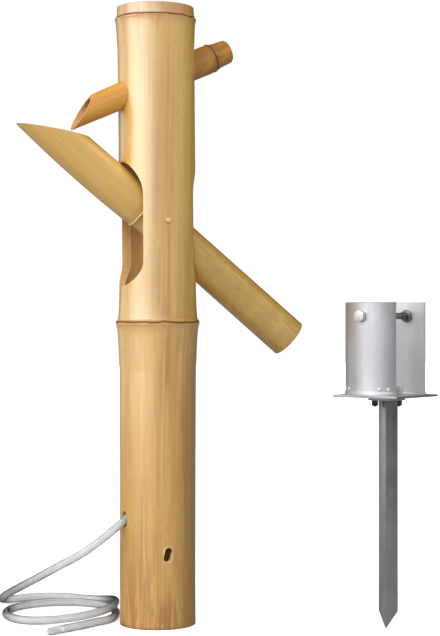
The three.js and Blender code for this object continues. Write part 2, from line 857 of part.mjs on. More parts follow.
function jawShell(turn) {
  const low = plateTop + seatGap;
  const outer = jaw.radius + jaw.wall;
  const outline = [
    new THREE.Vector2(jaw.radius, low),
    new THREE.Vector2(outer + jaw.flare, low),
    new THREE.Vector2(outer + jaw.flare, low + jaw.flareHeight / 4),
    new THREE.Vector2(outer, low + jaw.flareHeight),
    new THREE.Vector2(outer, low + jaw.height),
    new THREE.Vector2(jaw.radius, low + jaw.height),
    new THREE.Vector2(jaw.radius, low),
  ];
  const ring = solid(new THREE.LatheGeometry(outline, sides.jaw).rotateX(quarterTurn));
  const half = degToRad(jaw.halfAngle);
  const far = 2 * outer;
  const sector = solid(
    prism(
      new THREE.Shape([
        new THREE.Vector2(0, 0),
        new THREE.Vector2(far * Math.cos(half), -far * Math.sin(half)),
        new THREE.Vector2(far * Math.cos(half), far * Math.sin(half)),
      ]),
      low - overrun,
      low + jaw.height + overrun,
    ),
  );
  const boltBore = solid(
    bar(clampBolt.radius + seatGap, 0, 2 * jaw.radius, sides.hole).translate(
      0,
      0,
      clampHeight,
    ),
  );
  let shell = ring.intersect(sector).subtract(boltBore);
  // low round heads of the welds at the foot
  for (const turned of jaw.pipAngles.flatMap((at) => [-at, at])) {
    const pip = new THREE.SphereGeometry(jaw.pipRadius, sides.pip, sides.pip / 2)
      .scale(jaw.pipProud / jaw.pipRadius, 1, 1)
      .translate(outer, 0, plateTop + jaw.pipHeight)
      .rotateZ(degToRad(turned));
    const inside = post(jaw.radius + jaw.wall / 2, low, low + jaw.height, sides.jaw);
    shell = shell.add(solid(pip).subtract(solid(inside)));
  }
  return geometryOf(shell).rotateZ(turn);
}

// A place from how far it lies to the right and to the back of the spike's axis, seen on the plates' front corner
function seenOnCorner({ right = 0, back = 0 }) {
  return new THREE.Vector2(-(right + back) * Math.SQRT1_2, (right - back) * Math.SQRT1_2);
}

// A square plate with the two holes for the flange bolts
function holedPlate(size, low) {
  const outline = squareOutline(size.side, size.corner);
  const turn = degToRad(size.turn ?? 0);
  const middle = seenOnCorner({ right: size.right });
  for (const place of Object.values(flangePlaces)) {
    const hole = seenOnCorner(place).sub(middle).rotateAround(new THREE.Vector2(), -turn);
    const corners = polygon(flangeBolt.radius + seatGap, sides.bolt).map((corner) => corner.add(hole));
    outline.holes.push(new THREE.Path(corners));
  }
  return prism(outline, low, low + size.thickness)
    .rotateZ(turn)
    .translate(middle.x, middle.y, 0);
}

function angleSpike() {
  const { leg, thickness, length, point: pointHeight } = angle;
  const section = new THREE.Shape([
    new THREE.Vector2(0, 0),
    new THREE.Vector2(leg, 0),
    new THREE.Vector2(leg, thickness),
    new THREE.Vector2(thickness, thickness),
    new THREE.Vector2(thickness, leg),
    new THREE.Vector2(0, leg),
  ]);
  // turned so that the heel looks forward and its legs run back
  const iron = solid(prism(section, 0, length).rotateZ(halfTurn - degToRad(45)));
  const back = leg * Math.SQRT1_2;
  const cutter = solid(
    slab(
      [
        new THREE.Vector2(overrun, (-overrun * pointHeight) / back),
        new THREE.Vector2(overrun, -2 * pointHeight),
        new THREE.Vector2(-2 * back, -2 * pointHeight),
        new THREE.Vector2(-2 * back, 2 * pointHeight),
      ],
      4 * leg,
    ),
  );
  const aside = seenOnCorner(angle);
  return geometryOf(iron.subtract(cutter))
    .translate(angle.heel, 0, 0)
    .rotateZ(degToRad(angle.turn))
    .translate(aside.x, aside.y, 0);
}

function spikeGroup() {
  const group = new THREE.Group();
  group.position.set(spike.x, spike.y, 0);
  group.rotation.z = halfTurn + degToRad(spike.heading);
  const underLow = angle.length + seatGap;
  const plateLow = underLow + underPlate.thickness + seatGap;
  const jawOuter = jaw.radius + jaw.wall;
  const boltLength = 2 * jawOuter + seatGap + clampBolt.proud;
  const clampTurn = new THREE.Matrix4().makeRotationY(quarterTurn).setPosition(jawOuter + seatGap, 0, clampHeight);
  const nutRadius = clampBolt.across / 2 / Math.cos(halfTurn / 6);
  const nutSeat = Math.sqrt(jaw.radius ** 2 - nutRadius ** 2) - seatGap;
  const nutTurn = new THREE.Matrix4().makeRotationY(quarterTurn).setPosition(-nutSeat, 0, clampHeight);
  group.add(
    node("angle_spike", angleSpike(), finishes.darkIron),
    node("under_plate", holedPlate(underPlate, underLow), finishes.darkIron),
    node("spike_base_plate", holedPlate(plate, plateLow), finishes.steel),
    node("clamp_shell_front", jawShell(0), finishes.steel),
    node("clamp_shell_rear", jawShell(halfTurn), finishes.steel),
    node(
      "clamp_bolt",
      hexBolt(clampBolt.across, clampBolt.headHeight, clampBolt.radius, boltLength),
      finishes.bolts,
      clampTurn,
    ),
    node(
      "clamp_nut",
      hexNut(clampBolt.across, clampBolt.nutHeight, clampBolt.radius + seatGap),
      finishes.bolts,
      nutTurn,
    ),
  );
  const stack = plate.thickness + underPlate.thickness + 2 * seatGap;
  const flangeLength = stack + seatGap + flangeNut.height + flangeBolt.proud;
  for (const [side, place] of Object.entries(flangePlaces)) {
    const { x, y } = seenOnCorner(place);
    const { across, headHeight, radius, collarRadius, collarHeight } = flangeBolt;
    const collar = solid(post(collarRadius, 0, collarHeight + headHeight / 2, sides.bolt));
    group.add(
      node(
        "flange_bolt_" + side,
        hexBolt(across, headHeight, radius, flangeLength, collarHeight).add(collar),
        finishes.bolts,
        placed({ x, y, z: plateTop + seatGap }),
      ),
      node(
        "flange_nut_" + side,
        hexNut(flangeNut.across, flangeNut.height, radius + seatGap),
        finishes.darkIron,
        placed({ x, y, z: angle.length - flangeNut.height }),
      ),
    );
  }
  return group;
}

// The whole object
const shishiOdoshi = new THREE.Group();
shishiOdoshi.add(
  node("bamboo_column", bambooColumn(), finishes.columnCane),
  node("spout_tube", spoutTube(), finishes.spoutCane, spoutPlace),
  node("tipper_tube", rockerTube(), finishes.rockerCane, rockerPlace),
  node("pivot_dowel", pivotDowel(), finishes.dowelWood, placed({ turn: quarterTurn, z: pivotHeight })),
  node("inner_hose", innerHose(), finishes.clearHose),
  node("hose_drop", hoseTube(dropRoute, sides.hose), finishes.clearHose),
  node("hose_coil", hoseTube(loops, sides.coil, diametersPerCoilStep), finishes.clearHose),
  node("hose_tail", hoseTube(tailRoute, sides.hose), finishes.clearHose),
  node("hose_end_fitting", endFitting(), finishes.clearHose, fittingPlace()),
  spikeGroup(),
);

console.log("least gap between turns of the free hose:", leastHoseGap().toFixed(2), "mm");
console.log("spout above the ground:", spoutHeight.toFixed(2), "mm");

export default shishiOdoshi;
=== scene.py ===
import math
import bmesh
import bpy
from types import SimpleNamespace as Sizes
from mathutils import Matrix, Vector, noise


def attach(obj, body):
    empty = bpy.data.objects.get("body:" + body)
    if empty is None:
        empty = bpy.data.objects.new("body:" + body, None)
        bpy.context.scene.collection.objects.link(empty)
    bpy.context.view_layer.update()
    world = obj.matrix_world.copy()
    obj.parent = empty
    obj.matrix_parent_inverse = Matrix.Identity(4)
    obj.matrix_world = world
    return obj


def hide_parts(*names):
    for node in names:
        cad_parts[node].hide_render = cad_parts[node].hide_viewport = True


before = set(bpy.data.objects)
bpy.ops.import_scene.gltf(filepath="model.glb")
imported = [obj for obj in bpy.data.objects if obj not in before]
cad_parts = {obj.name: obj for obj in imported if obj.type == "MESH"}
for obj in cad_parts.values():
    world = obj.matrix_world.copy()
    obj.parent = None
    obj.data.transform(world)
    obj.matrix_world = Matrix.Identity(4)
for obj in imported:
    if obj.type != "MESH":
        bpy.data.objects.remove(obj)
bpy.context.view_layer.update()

MM = 0.001
rad = math.radians

# sizes, in millimetres, as in the solids
# SEAT is the air between pieces that touch, GROUND the air under the hose
SEAT = 0.3
GROUND = 0.15
COLUMN = Sizes(foot=60, radius=60.8, wall=8.5, node=479, stub=18.5, diaphragm=8, edge=1.2, bow=4)
COLUMN_RING = Sizes(height=5.6, below=77, above=52)
RIM_RING = Sizes(height=3.6, below=50, above=17)
ROCKER = Sizes(above_node=158.8, slope=40.15, radius=31.3, step=2.2, taper=2.5, flare=1, wall=5.5, tail=288,
               tip=269, lip=170, node=33, kink=3.65, kink_reach=9, curl=6.2, diaphragm=7, shift=2)
ROCKER_RING = Sizes(height=2.1, below=13, above=13)
SLOT = Sizes(skew=7.6, side=3.5, rest=0.6, rise=52, sill_drop=37, sill=101.8)
DOWEL = Sizes(radius=4, proud=3, edge=0.8, clearance=0.4)
SPOUT = Sizes(height=862.8, below_node=96.7, slope=24.13, tip_radius=19.2, radius=21.8, shoulder=23.2,
              neck=20.4, tail_radius=18.9, wall=4.5, stub_wall=5.5, lip=113, tip=168, tail=134, node=101,
              diaphragm=6, tail_edge=3, hose_gap=0.6, hose_reach=66)
SPOUT_RING = Sizes(height=1.6, below=10, above=8)
HOSE = Sizes(radius=6.5, wall=1.5, hole=169.8, exit_below=3, exit_slope=34.5, exit_heading=14, run=3)
SIDE_HOLE = Sizes(radius=8.3, spread=4.2)
BOLT_HOLE = Sizes(height=117, radius=6, spread=5, slant=1.2)
NODE_HOLE = Sizes(x=8, y=-36, clearance=1.2, reach=12)
RISING = Sizes(x=12, y=-41.9, inside=14)
COIL = Sizes(turns=1.378, move=0.509, start=139.1, heading=-15.2, clearance=0.9)
COIL_FIRST = Sizes(x=-123.8, y=181.4, long=99.9, short=93.3)
COIL_SECOND = Sizes(x=-132.7, y=112.3, long=88.5, short=93.2)
# where the upper loop climbs over the lower one, as shares of the coil
HUMP = (0.149, 0.276, 0.28, 0.574)
FITTING = Sizes(length=29, radius=6.3, nose=4, bore=3, bore_depth=20, ring=0.6, count=4, first=4, pitch=3.6,
                width=1.6)
SPIKE = Sizes(x=330.9, y=-141.6, heading=30)
JAW = Sizes(radius=60.4, wall=2, height=144, half=52, flare=1.4, flare_height=7, rim=0.5,
            pip_angles=(28.3, 41.4), pip_height=10, pip_radius=3.4, pip_proud=1.3)
PLATE = Sizes(side=120, thickness=3.5, corner=2, turn=3.4, right=0)
UNDER = Sizes(side=42, thickness=5.5, corner=1.5, turn=0, right=2)
IRON = Sizes(length=356, leg=22, thickness=3, root=2.2, point=26, heel=13.4, turn=22, right=4)
CLAMP = Sizes(radius=5, above=123, across=17, head=6.5, nut=8, proud=4, thread=34, pitch=1.5)
FLANGE = Sizes(radius=3, across=13, head=8, collar=6, collar_height=4.5, nut_across=9, nut=8, proud=1.5,
               plain=6, pitch=1.0)
# how far to the right and to the back of the spike's axis, seen on the plates' corner
FLANGE_PLACES = {"left": (-16.4, 0), "right": (21.8, 3)}

BORE = COLUMN.foot - COLUMN.wall
UPPER_NODE = SPOUT.height + SPOUT.below_node
COLUMN_TOP = UPPER_NODE + COLUMN.stub
PIVOT = COLUMN.node + ROCKER.above_node
FRONT_RADIUS = ROCKER.radius + ROCKER.step
SLOT_HALF = FRONT_RADIUS + COLUMN.radius * math.sin(rad(SLOT.skew)) - ROCKER.shift + SLOT.side
GROUND_HEIGHT = HOSE.radius + GROUND
PLATE_TOP = IRON.length + UNDER.thickness + PLATE.thickness + 2 * SEAT

# a node ring's profile: places as shares of its reach, heights as shares of its own
RING_SHARES = [(-1, 0), (-0.58, 0.22), (-0.36, 0.36), (-0.2, 0.52), (-0.09, 0.74), (-0.035, 1), (0.03, 1),
               (0.09, 0.5), (0.24, 0.27), (0.52, 0.12), (1, 0)]
# how far cutters reach through a piece, and past an end that they open
REACH = Sizes(slot=80, hole=90, jaw=100, rocker=60, scoop=70, mouth=50, iron=50)
OVERCUT = 4
# widths of rounded edges, and the cone that takes off a hexagon's corners
ROUNDED = Sizes(plate=0.45, iron=0.35, head=0.2)
CROWN = Sizes(depth=0.62, face=0.985, spare=0.2, free=1.4)
# a shank's share inside the head, and its thread's run-in, run-out and blunt tip
SHANK = Sizes(buried=0.6, run_in=0.2, run_out=0.8, tip=0.4)

# turns: from lying along X to standing, its way back, from a flat sketch to an upright one, and across
STAND_UP = Matrix.Rotation(-math.pi / 2, 4, "Y")
LIE_DOWN = Matrix.Rotation(math.pi / 2, 4, "Y")
TIP_UP = Matrix.Rotation(math.pi / 2, 4, "X")
ACROSS = Matrix.Rotation(math.pi / 2, 4, "Z")


def put_in_scene(name, data):
    obj = bpy.data.objects.new(name, data)
    bpy.context.scene.collection.objects.link(obj)
    return obj


def aim(obj, place, way):
    obj.location = place
    obj.rotation_mode = "QUATERNION"
    obj.rotation_quaternion = way.to_track_quat("-Z", "Y")


# camera: its focal length and frame height are in pixels of the picture
FOCAL, FRAME_HEIGHT, SENSOR = 1661, 636, 36
camera_data = bpy.data.cameras.new("camera")
camera = put_in_scene("camera", camera_data)
aim(camera, (-0.7062, -2.5457, 0.4855), Vector((0.3032, 0.9529, 0)))
camera_data.sensor_width = SENSOR
camera_data.lens = FOCAL / FRAME_HEIGHT * SENSOR
camera_data.clip_start = 0.05
camera_data.clip_end = 60
bpy.context.scene.camera = camera


# small tools
def smoothstep(x, low, high):
    t = min(1, max(0, (x - low) / (high - low)))
    return t * t * (3 - 2 * t)


def lerp(a, b, t):
    return a + (b - a) * t


def between(stations, place):
    if place <= stations[0][0]:
        return stations[0][1]
    for (p0, v0), (p1, v1) in zip(stations, stations[1:]):
        if place <= p1:
            return lerp(v0, v1, (place - p0) / (p1 - p0))
    return stations[-1][1]


def ring_height(ring, place):
    return between([(ring.at + s * (ring.below if s < 0 else ring.above), h * ring.height)
                    for s, h in RING_SHARES], place)


def placed(tip=0, turn=0, x=0, y=0, z=0):
    return Matrix.Translation((x, y, z)) @ Matrix.Rotation(turn, 4, "Z") @ Matrix.Rotation(tip, 4, "Y")


def circle(count):
    """The cosines and sines of the angles that share out a full turn."""
    return [(math.cos(math.tau * k / count), math.sin(math.tau * k / count)) for k in range(count)]


def strip(low, high, count):
    """The faces between two rows of points that go once round, from the first point of each."""
    return [(low + k, low + (k + 1) % count, high + (k + 1) % count, high + k) for k in range(count)]


def skin(rows, count):
    """The faces between all rows."""
    return [face for i in range(rows - 1) for face in strip(i * count, (i + 1) * count, count)]


def capped(rows, count):
    """The same, closed at both ends."""
    last = (rows - 1) * count
    return skin(rows, count) + [tuple(range(count)), tuple(range(last, last + count))]


def fan(row, count, centre):
    """The triangles between a row and a point."""
    return [(row * count + k, row * count + (k + 1) % count, centre) for k in range(count)]


def make(name, verts, faces, materials=()):
    """A mesh object from points in millimetres, its normals outwards."""
    mesh = bpy.data.meshes.new(name)
    mesh.from_pydata([tuple(v) for v in verts], [], faces)
    bm = bmesh.new()
    bm.from_mesh(mesh)
    bmesh.ops.remove_doubles(bm, verts=bm.verts, dist=1e-5)
    bmesh.ops.recalc_face_normals(bm, faces=bm.faces)
    bm.to_mesh(mesh)
    bm.free()
    for material in materials:
        mesh.materials.append(material)
    return put_in_scene(name, mesh)


def apply_modifiers(obj):
    bpy.context.view_layer.update()
    result = bpy.data.meshes.new_from_object(obj.evaluated_get(bpy.context.evaluated_depsgraph_get()))
    obj.modifiers.clear()
    old, obj.data = obj.data, result
    bpy.data.meshes.remove(old)


def cut(obj, cutters, operation="DIFFERENCE"):
    """Cuts the cutters away, one after the other; a cutter's faces keep the cutter's material."""
    for cutter in cutters:
        modifier = obj.modifiers.new("cut", "BOOLEAN")
        modifier.operation = operation
        modifier.solver = "EXACT"
        modifier.material_mode = "TRANSFER"
        modifier.object = cutter
        apply_modifiers(obj)
        bpy.data.objects.remove(cutter)
    return obj


def shade(obj, angle=32):
    """Smooth faces, with sharp edges where the surface turns by more than the angle."""
    bm = bmesh.new()
    bm.from_mesh(obj.data)
    for face in bm.faces:
        face.smooth = True
    for edge in bm.edges:
        edge.smooth = len(edge.link_faces) == 2 and edge.calc_face_angle(0) < rad(angle)
    bm.to_mesh(obj.data)
    bm.free()
    return obj


def settle(obj, body, nodes, matrix=Matrix.Identity(4), angle=32, local=None):
    """Keeps each point's own place as an attribute for the material, then puts the piece in its place."""
    shade(obj, angle)
    mesh = obj.data
    attribute = mesh.attributes.new("local", "FLOAT_VECTOR", "POINT")
    for i, vertex in enumerate(mesh.vertices):
        place = local(vertex.co) if local else vertex.co
        attribute.data[i].vector = Vector(place) * MM
    mesh.transform(Matrix.Scale(MM, 4) @ matrix)
    mesh.update()
    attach(obj, body)
    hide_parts(*nodes)
    return obj


# solids of revolution
LEAST_STEP = 0.12


def worn(away, edge):
    """How far a worn edge has drawn in at a distance from its end."""
    if away >= edge:
        return 0
    t = 1 - away / edge
    return edge * (1 - math.sqrt(max(0, 1 - t * t)))


def cane(name, stations, rings=(), count=96, start_edge=0, end_edge=0, step=7, wave=0, materials=(), seed=0):
    """A closed cane along X: stations of place and radius, its rings on top, and a grown wave round them."""
    first, last = stations[0][0], stations[-1][0]
    places = {p for p, _ in stations} | {first + start_edge, last - end_edge}
    if step:
        n = max(1, round((last - first) / step))
        places |= {first + (last - first) * i / n for i in range(n + 1)}
    for ring in rings:
        for (s0, _), (s1, _) in zip(RING_SHARES, RING_SHARES[1:]):
            for k in range(5):
                s = lerp(s0, s1, k / 4)
                places.add(ring.at + s * (ring.below if s < 0 else ring.above))
    for k in range(4):
        places |= {first + start_edge * k / 3, last - end_edge * k / 3}
    kept = []
    for p in sorted(p for p in places if first <= p <= last):
        if not kept or p - kept[-1] > LEAST_STEP or p == last:
            kept.append(p)
    verts, turn = [], circle(count)
    for p in kept:
        lost = worn(p - first, start_edge) + worn(last - p, end_edge)
        for c, s in turn:
            shift = wave * 1.6 * noise.noise((c * 1.3 + seed, s * 1.3, 0.3))
            swell = wave * 0.45 * noise.noise((c * 1.1 + seed, s * 1.1, p * 0.006))
            r = between(stations, p) + sum(ring_height(ring, p + shift) for ring in rings) + swell - lost
            verts.append((p, r * c, r * s))
    faces = skin(len(kept), count)
    for row, place in ((0, kept[0]), (len(kept) - 1, kept[-1])):
        faces += fan(row, count, len(verts))
        verts.append((place, 0, 0))
    return make(name, verts, faces, materials)


def bar(name, radius, start, end, count=32, matrix=None, materials=()):
    """A round cutter along X."""
    obj = cane(name, [(start, radius), (end, radius)], count=count, step=0, materials=materials)
    if matrix:
        obj.data.transform(matrix)
    return obj


def prism(name, outline, low, high, matrix=None, materials=()):
    """A flat outline pushed up along Z."""
    n = len(outline)
    verts = [(x, y, low) for x, y in outline] + [(x, y, high) for x, y in outline]
    obj = make(name, verts, [tuple(range(n)), tuple(range(n, 2 * n))] + skin(2, n), materials)
    if matrix:
        obj.data.transform(matrix)
    return obj


def reshape(obj, move):
    for vertex in obj.data.vertices:
        vertex.co = move(vertex.co)
    return obj


def bevelled(obj, width, segments=2, angle=40):
    """Rounds a solid's sharp edges a little."""
    modifier = obj.modifiers.new("edges", "BEVEL")
    modifier.width = width
    modifier.segments = segments
    modifier.limit_method = "ANGLE"
    modifier.angle_limit = rad(angle)
    apply_modifiers(obj)
    return obj


# the hose's route
def on_exit_line(radius):
    heading = math.pi + rad(HOSE.exit_heading)
    drop = (radius - COLUMN.radius) * math.tan(rad(HOSE.exit_slope))
    height = HOSE.hole - HOSE.exit_below - drop
    return Vector((radius * math.cos(heading), radius * math.sin(heading), height))


def coil_point(share):
    moved = smoothstep(share * COIL.turns, 0, COIL.move)
    mix = Sizes(**{k: lerp(v, getattr(COIL_SECOND, k), moved) for k, v in vars(COIL_FIRST).items()})
    around = rad(COIL.start) - share * COIL.turns * 2 * math.pi
    along = mix.long * math.cos(around)
    across = mix.short * math.sin(around)
    heading = rad(COIL.heading)
    rise, top, end, fall = HUMP
    hump = smoothstep(share, rise, top) * (1 - smoothstep(share, end, fall))
    return Vector((
        mix.x + along * math.cos(heading) - across * math.sin(heading),
        mix.y + along * math.sin(heading) + across * math.cos(heading),
        GROUND_HEIGHT + hump * (2 * HOSE.radius + COIL.clearance),
    ))


def catmull(points, per=10):
    """A centripetal curve through the points."""
    points = [Vector(p) for p in points]
    ends = [2 * points[0] - points[1]] + points + [2 * points[-1] - points[-2]]
    out = []
    for i in range(1, len(ends) - 2):
        p0, p1, p2, p3 = ends[i - 1:i + 3]
        d0, d1, d2 = (math.sqrt((b - a).length) for a, b in ((p0, p1), (p1, p2), (p2, p3)))
        t1 = ((p1 - p0) / d0 - (p2 - p0) / (d0 + d1) + (p2 - p1) / d1) * d1
        t2 = ((p2 - p1) / d1 - (p3 - p1) / (d1 + d2) + (p3 - p2) / d2) * d1
        square = 3 * (p2 - p1) - 2 * t1 - t2
        cube = 2 * (p1 - p2) + t1 + t2
        for k in range(per):
            t = k / per
            out.append(p1 + t1 * t + square * t * t + cube * t ** 3)
    out.append(points[-1])
    return out


def even(points, step):
    """The same line with points at an even distance."""
    lengths = [0]
    for a, b in zip(points, points[1:]):
        lengths.append(lengths[-1] + (b - a).length)
    count = max(2, round(lengths[-1] / step))
    out, k = [], 0
    for i in range(count + 1):
        target = lengths[-1] * i / count
        while k < len(points) - 2 and lengths[k + 1] < target:
            k += 1
        span = lengths[k + 1] - lengths[k]
        out.append(points[k].lerp(points[k + 1], (target - lengths[k]) / span if span else 0))
    return out


def tube(name, points, radius, wall, count, materials):
    """A hose with its bore along the points."""
    n = len(points)
    ways = [(points[min(i + 1, n - 1)] - points[max(i - 1, 0)]).normalized() for i in range(n)]
    side = ways[0].cross(Vector((0, 0, 1)))
    verts, faces = [], []
    turn, ring = circle(count), 2 * count
    for i in range(n):
        side = (side - ways[i] * side.dot(ways[i])).normalized()
        up = side.cross(ways[i])
        for r in (radius, radius - wall):
            verts += [points[i] + side * (r * c) + up * (r * s) for c, s in turn]
    for low in range(0, (n - 1) * ring, ring):
        faces += strip(low, low + ring, count) + strip(low + count, low + ring + count, count)
    for low in (0, (n - 1) * ring):
        faces += strip(low, low + count, count)
    return make(name, verts, faces, materials)


coil_steps = round(COIL.turns * 24)
loops = [coil_point(i / coil_steps) for i in range(coil_steps + 1)]
run = HOSE.run


def flat(v):
    return Vector((v.x, v.y, 0))


loops.insert(0, loops[0] + flat(loops[0] - loops[1]).normalized() * run)
loops.append(loops[-1] + flat(loops[-1] - loops[-2]).normalized() * run)


def before_loops(distance):
    return loops[0] + (loops[0] - loops[1]).normalized() * distance


def after_loops(distance):
    return loops[-1] + (loops[-1] - loops[-2]).normalized() * distance


exit_start = COLUMN.radius + SEAT * math.cos(rad(HOSE.exit_slope))
hose_route = [
    on_exit_line(exit_start),
    on_exit_line(COLUMN.radius + 2 * HOSE.radius),
    (-100, -23.5, 138.2),
    (-128, -14.5, 117.4),
    (-155, 11, 97.8),
    (-171, 42, 82.1),
    (-183, 75, 67.7),
    (-192, 104, 56.4),
    (-199, 134, 45.3),
    (-204, 166, 34.9),
    (-209, 195, 24.5),
    (-209, 223.5, 14.7),
    (-203.5, 239, 10),
    (-194.5, 250.8, 7.6),
    before_loops(run),
    *loops,
    after_loops(run),
    *[(x, y, GROUND_HEIGHT) for x, y in (
        (-54.6, 59.5), (-67.4, 31.6), (-81.8, 16.7),
        (-95.4, 8.5), (-111, -2.7), (-124, -12), (-144.6, -24.7), (-162.4, -36))],
]
inner_route = [
    on_exit_line(COLUMN.radius),
    on_exit_line(BORE),
    (-35.8, -9.8, HOSE.hole + 14.4),
    (-26.3, -9, HOSE.hole + 49.2),
    (-14, -17, HOSE.hole + 120.2),
    (-1, -27, HOSE.hole + 195.2),
    (NODE_HOLE.x, NODE_HOLE.y, COLUMN.node - 40),
    (NODE_HOLE.x, NODE_HOLE.y, COLUMN.node),
    (RISING.x, RISING.y, COLUMN.node + 72),
    (RISING.x, RISING.y, PIVOT - 40),
    (RISING.x, RISING.y, PIVOT),
    (RISING.x, RISING.y, PIVOT + 55),
]
spout_floor = SPOUT.height - (SPOUT.radius - SPOUT.wall) / math.cos(rad(SPOUT.slope))
inner_route += [(10.6, -37.4, spout_floor - 114), (5, -18, spout_floor - 68), (0.8, -3, spout_floor - 30),
                (0, 0, spout_floor - 12), (0, 0, spout_floor + RISING.inside)]


# materials
class Tree:
    """The nodes of a material or world, added by kind with their inputs by name or place."""

    def __init__(self, owner, shader="Principled BSDF"):
        owner.use_nodes = True
        self.owner = owner
        self.tree = owner.node_tree
        self.shader = self.tree.nodes[shader]

    def put(self, socket, value):
        if isinstance(value, bpy.types.NodeSocket):
            self.tree.links.new(value, socket)
        elif isinstance(value, (tuple, list)) and len(value) == 3 and socket.type == "RGBA":
            socket.default_value = (*value, 1)
        else:
            socket.default_value = value

    def add(self, kind, inputs=None, out=0, **settings):
        made = self.tree.nodes.new("ShaderNode" + kind)
        for key, value in settings.items():
            setattr(made, key, value)
        for key, value in (inputs or {}).items():
            self.put(made.inputs[key], value)
        return made.outputs[out]

    def set(self, **inputs):
        for key, value in inputs.items():
            self.put(self.shader.inputs[key.replace("_", " ")], value)

    def maths(self, operation, a, b=0.0, c=0.0):
        return self.add("Math", {0: a, 1: b, 2: c}, operation=operation)

    def apart(self, a, b):
        return self.maths("ABSOLUTE", self.maths("SUBTRACT", a, b))

    def noise(self, vector, scale=1.0, detail=2.0, roughness=0.5):
        inputs = {"Vector": vector, "Scale": scale, "Detail": detail, "Roughness": roughness}
        return self.add("TexNoise", inputs)

    def grain(self, vector, scale, detail=2.0, roughness=0.5):
        """Noise with a scale of its own along each axis."""
        vector = self.add("VectorMath", {0: vector, 1: scale}, operation="MULTIPLY")
        return self.noise(vector, detail=detail, roughness=roughness)

    def span(self, value, low, high, start, end, **settings):
        inputs = {"Value": value, "From Min": low, "From Max": high, "To Min": start, "To Max": end}
        return self.add("MapRange", inputs, **settings)

    def fade(self, value, low, high, start=0.0, end=1.0):
        return self.span(value, low, high, start, end, interpolation_type="SMOOTHSTEP")

    def ramp(self, value, stops):
        made = self.tree.nodes.new("ShaderNodeValToRGB")
        elements = made.color_ramp.elements
        while len(elements) < len(stops):
            elements.new(0.5)
        for element, (place, colour) in zip(elements, stops):
            element.position = place
            element.color = (*colour, 1)
        self.put(made.inputs[0], value)
        return made.outputs[0]

    def mix(self, share, a, b, blend="MIX"):
        made = self.tree.nodes.new("ShaderNodeMix")
        made.data_type = "RGBA"
        made.blend_type = blend
        self.put(made.inputs[0], share)
        self.put(made.inputs[6], a)
        self.put(made.inputs[7], b)
        return made.outputs[2]

    def bump(self, height, distance, strength=0.5):
        self.set(Normal=self.add("Bump", {"Height": height, "Distance": distance, "Strength": strength}))


def place_of(tree):
    vector = tree.add("Attribute", out=1, attribute_name="local", attribute_type="GEOMETRY")
    parts = tree.tree.nodes.new("ShaderNodeSeparateXYZ")
    tree.tree.links.new(vector, parts.inputs[0])
    return vector, parts.outputs[0], parts.outputs[1]


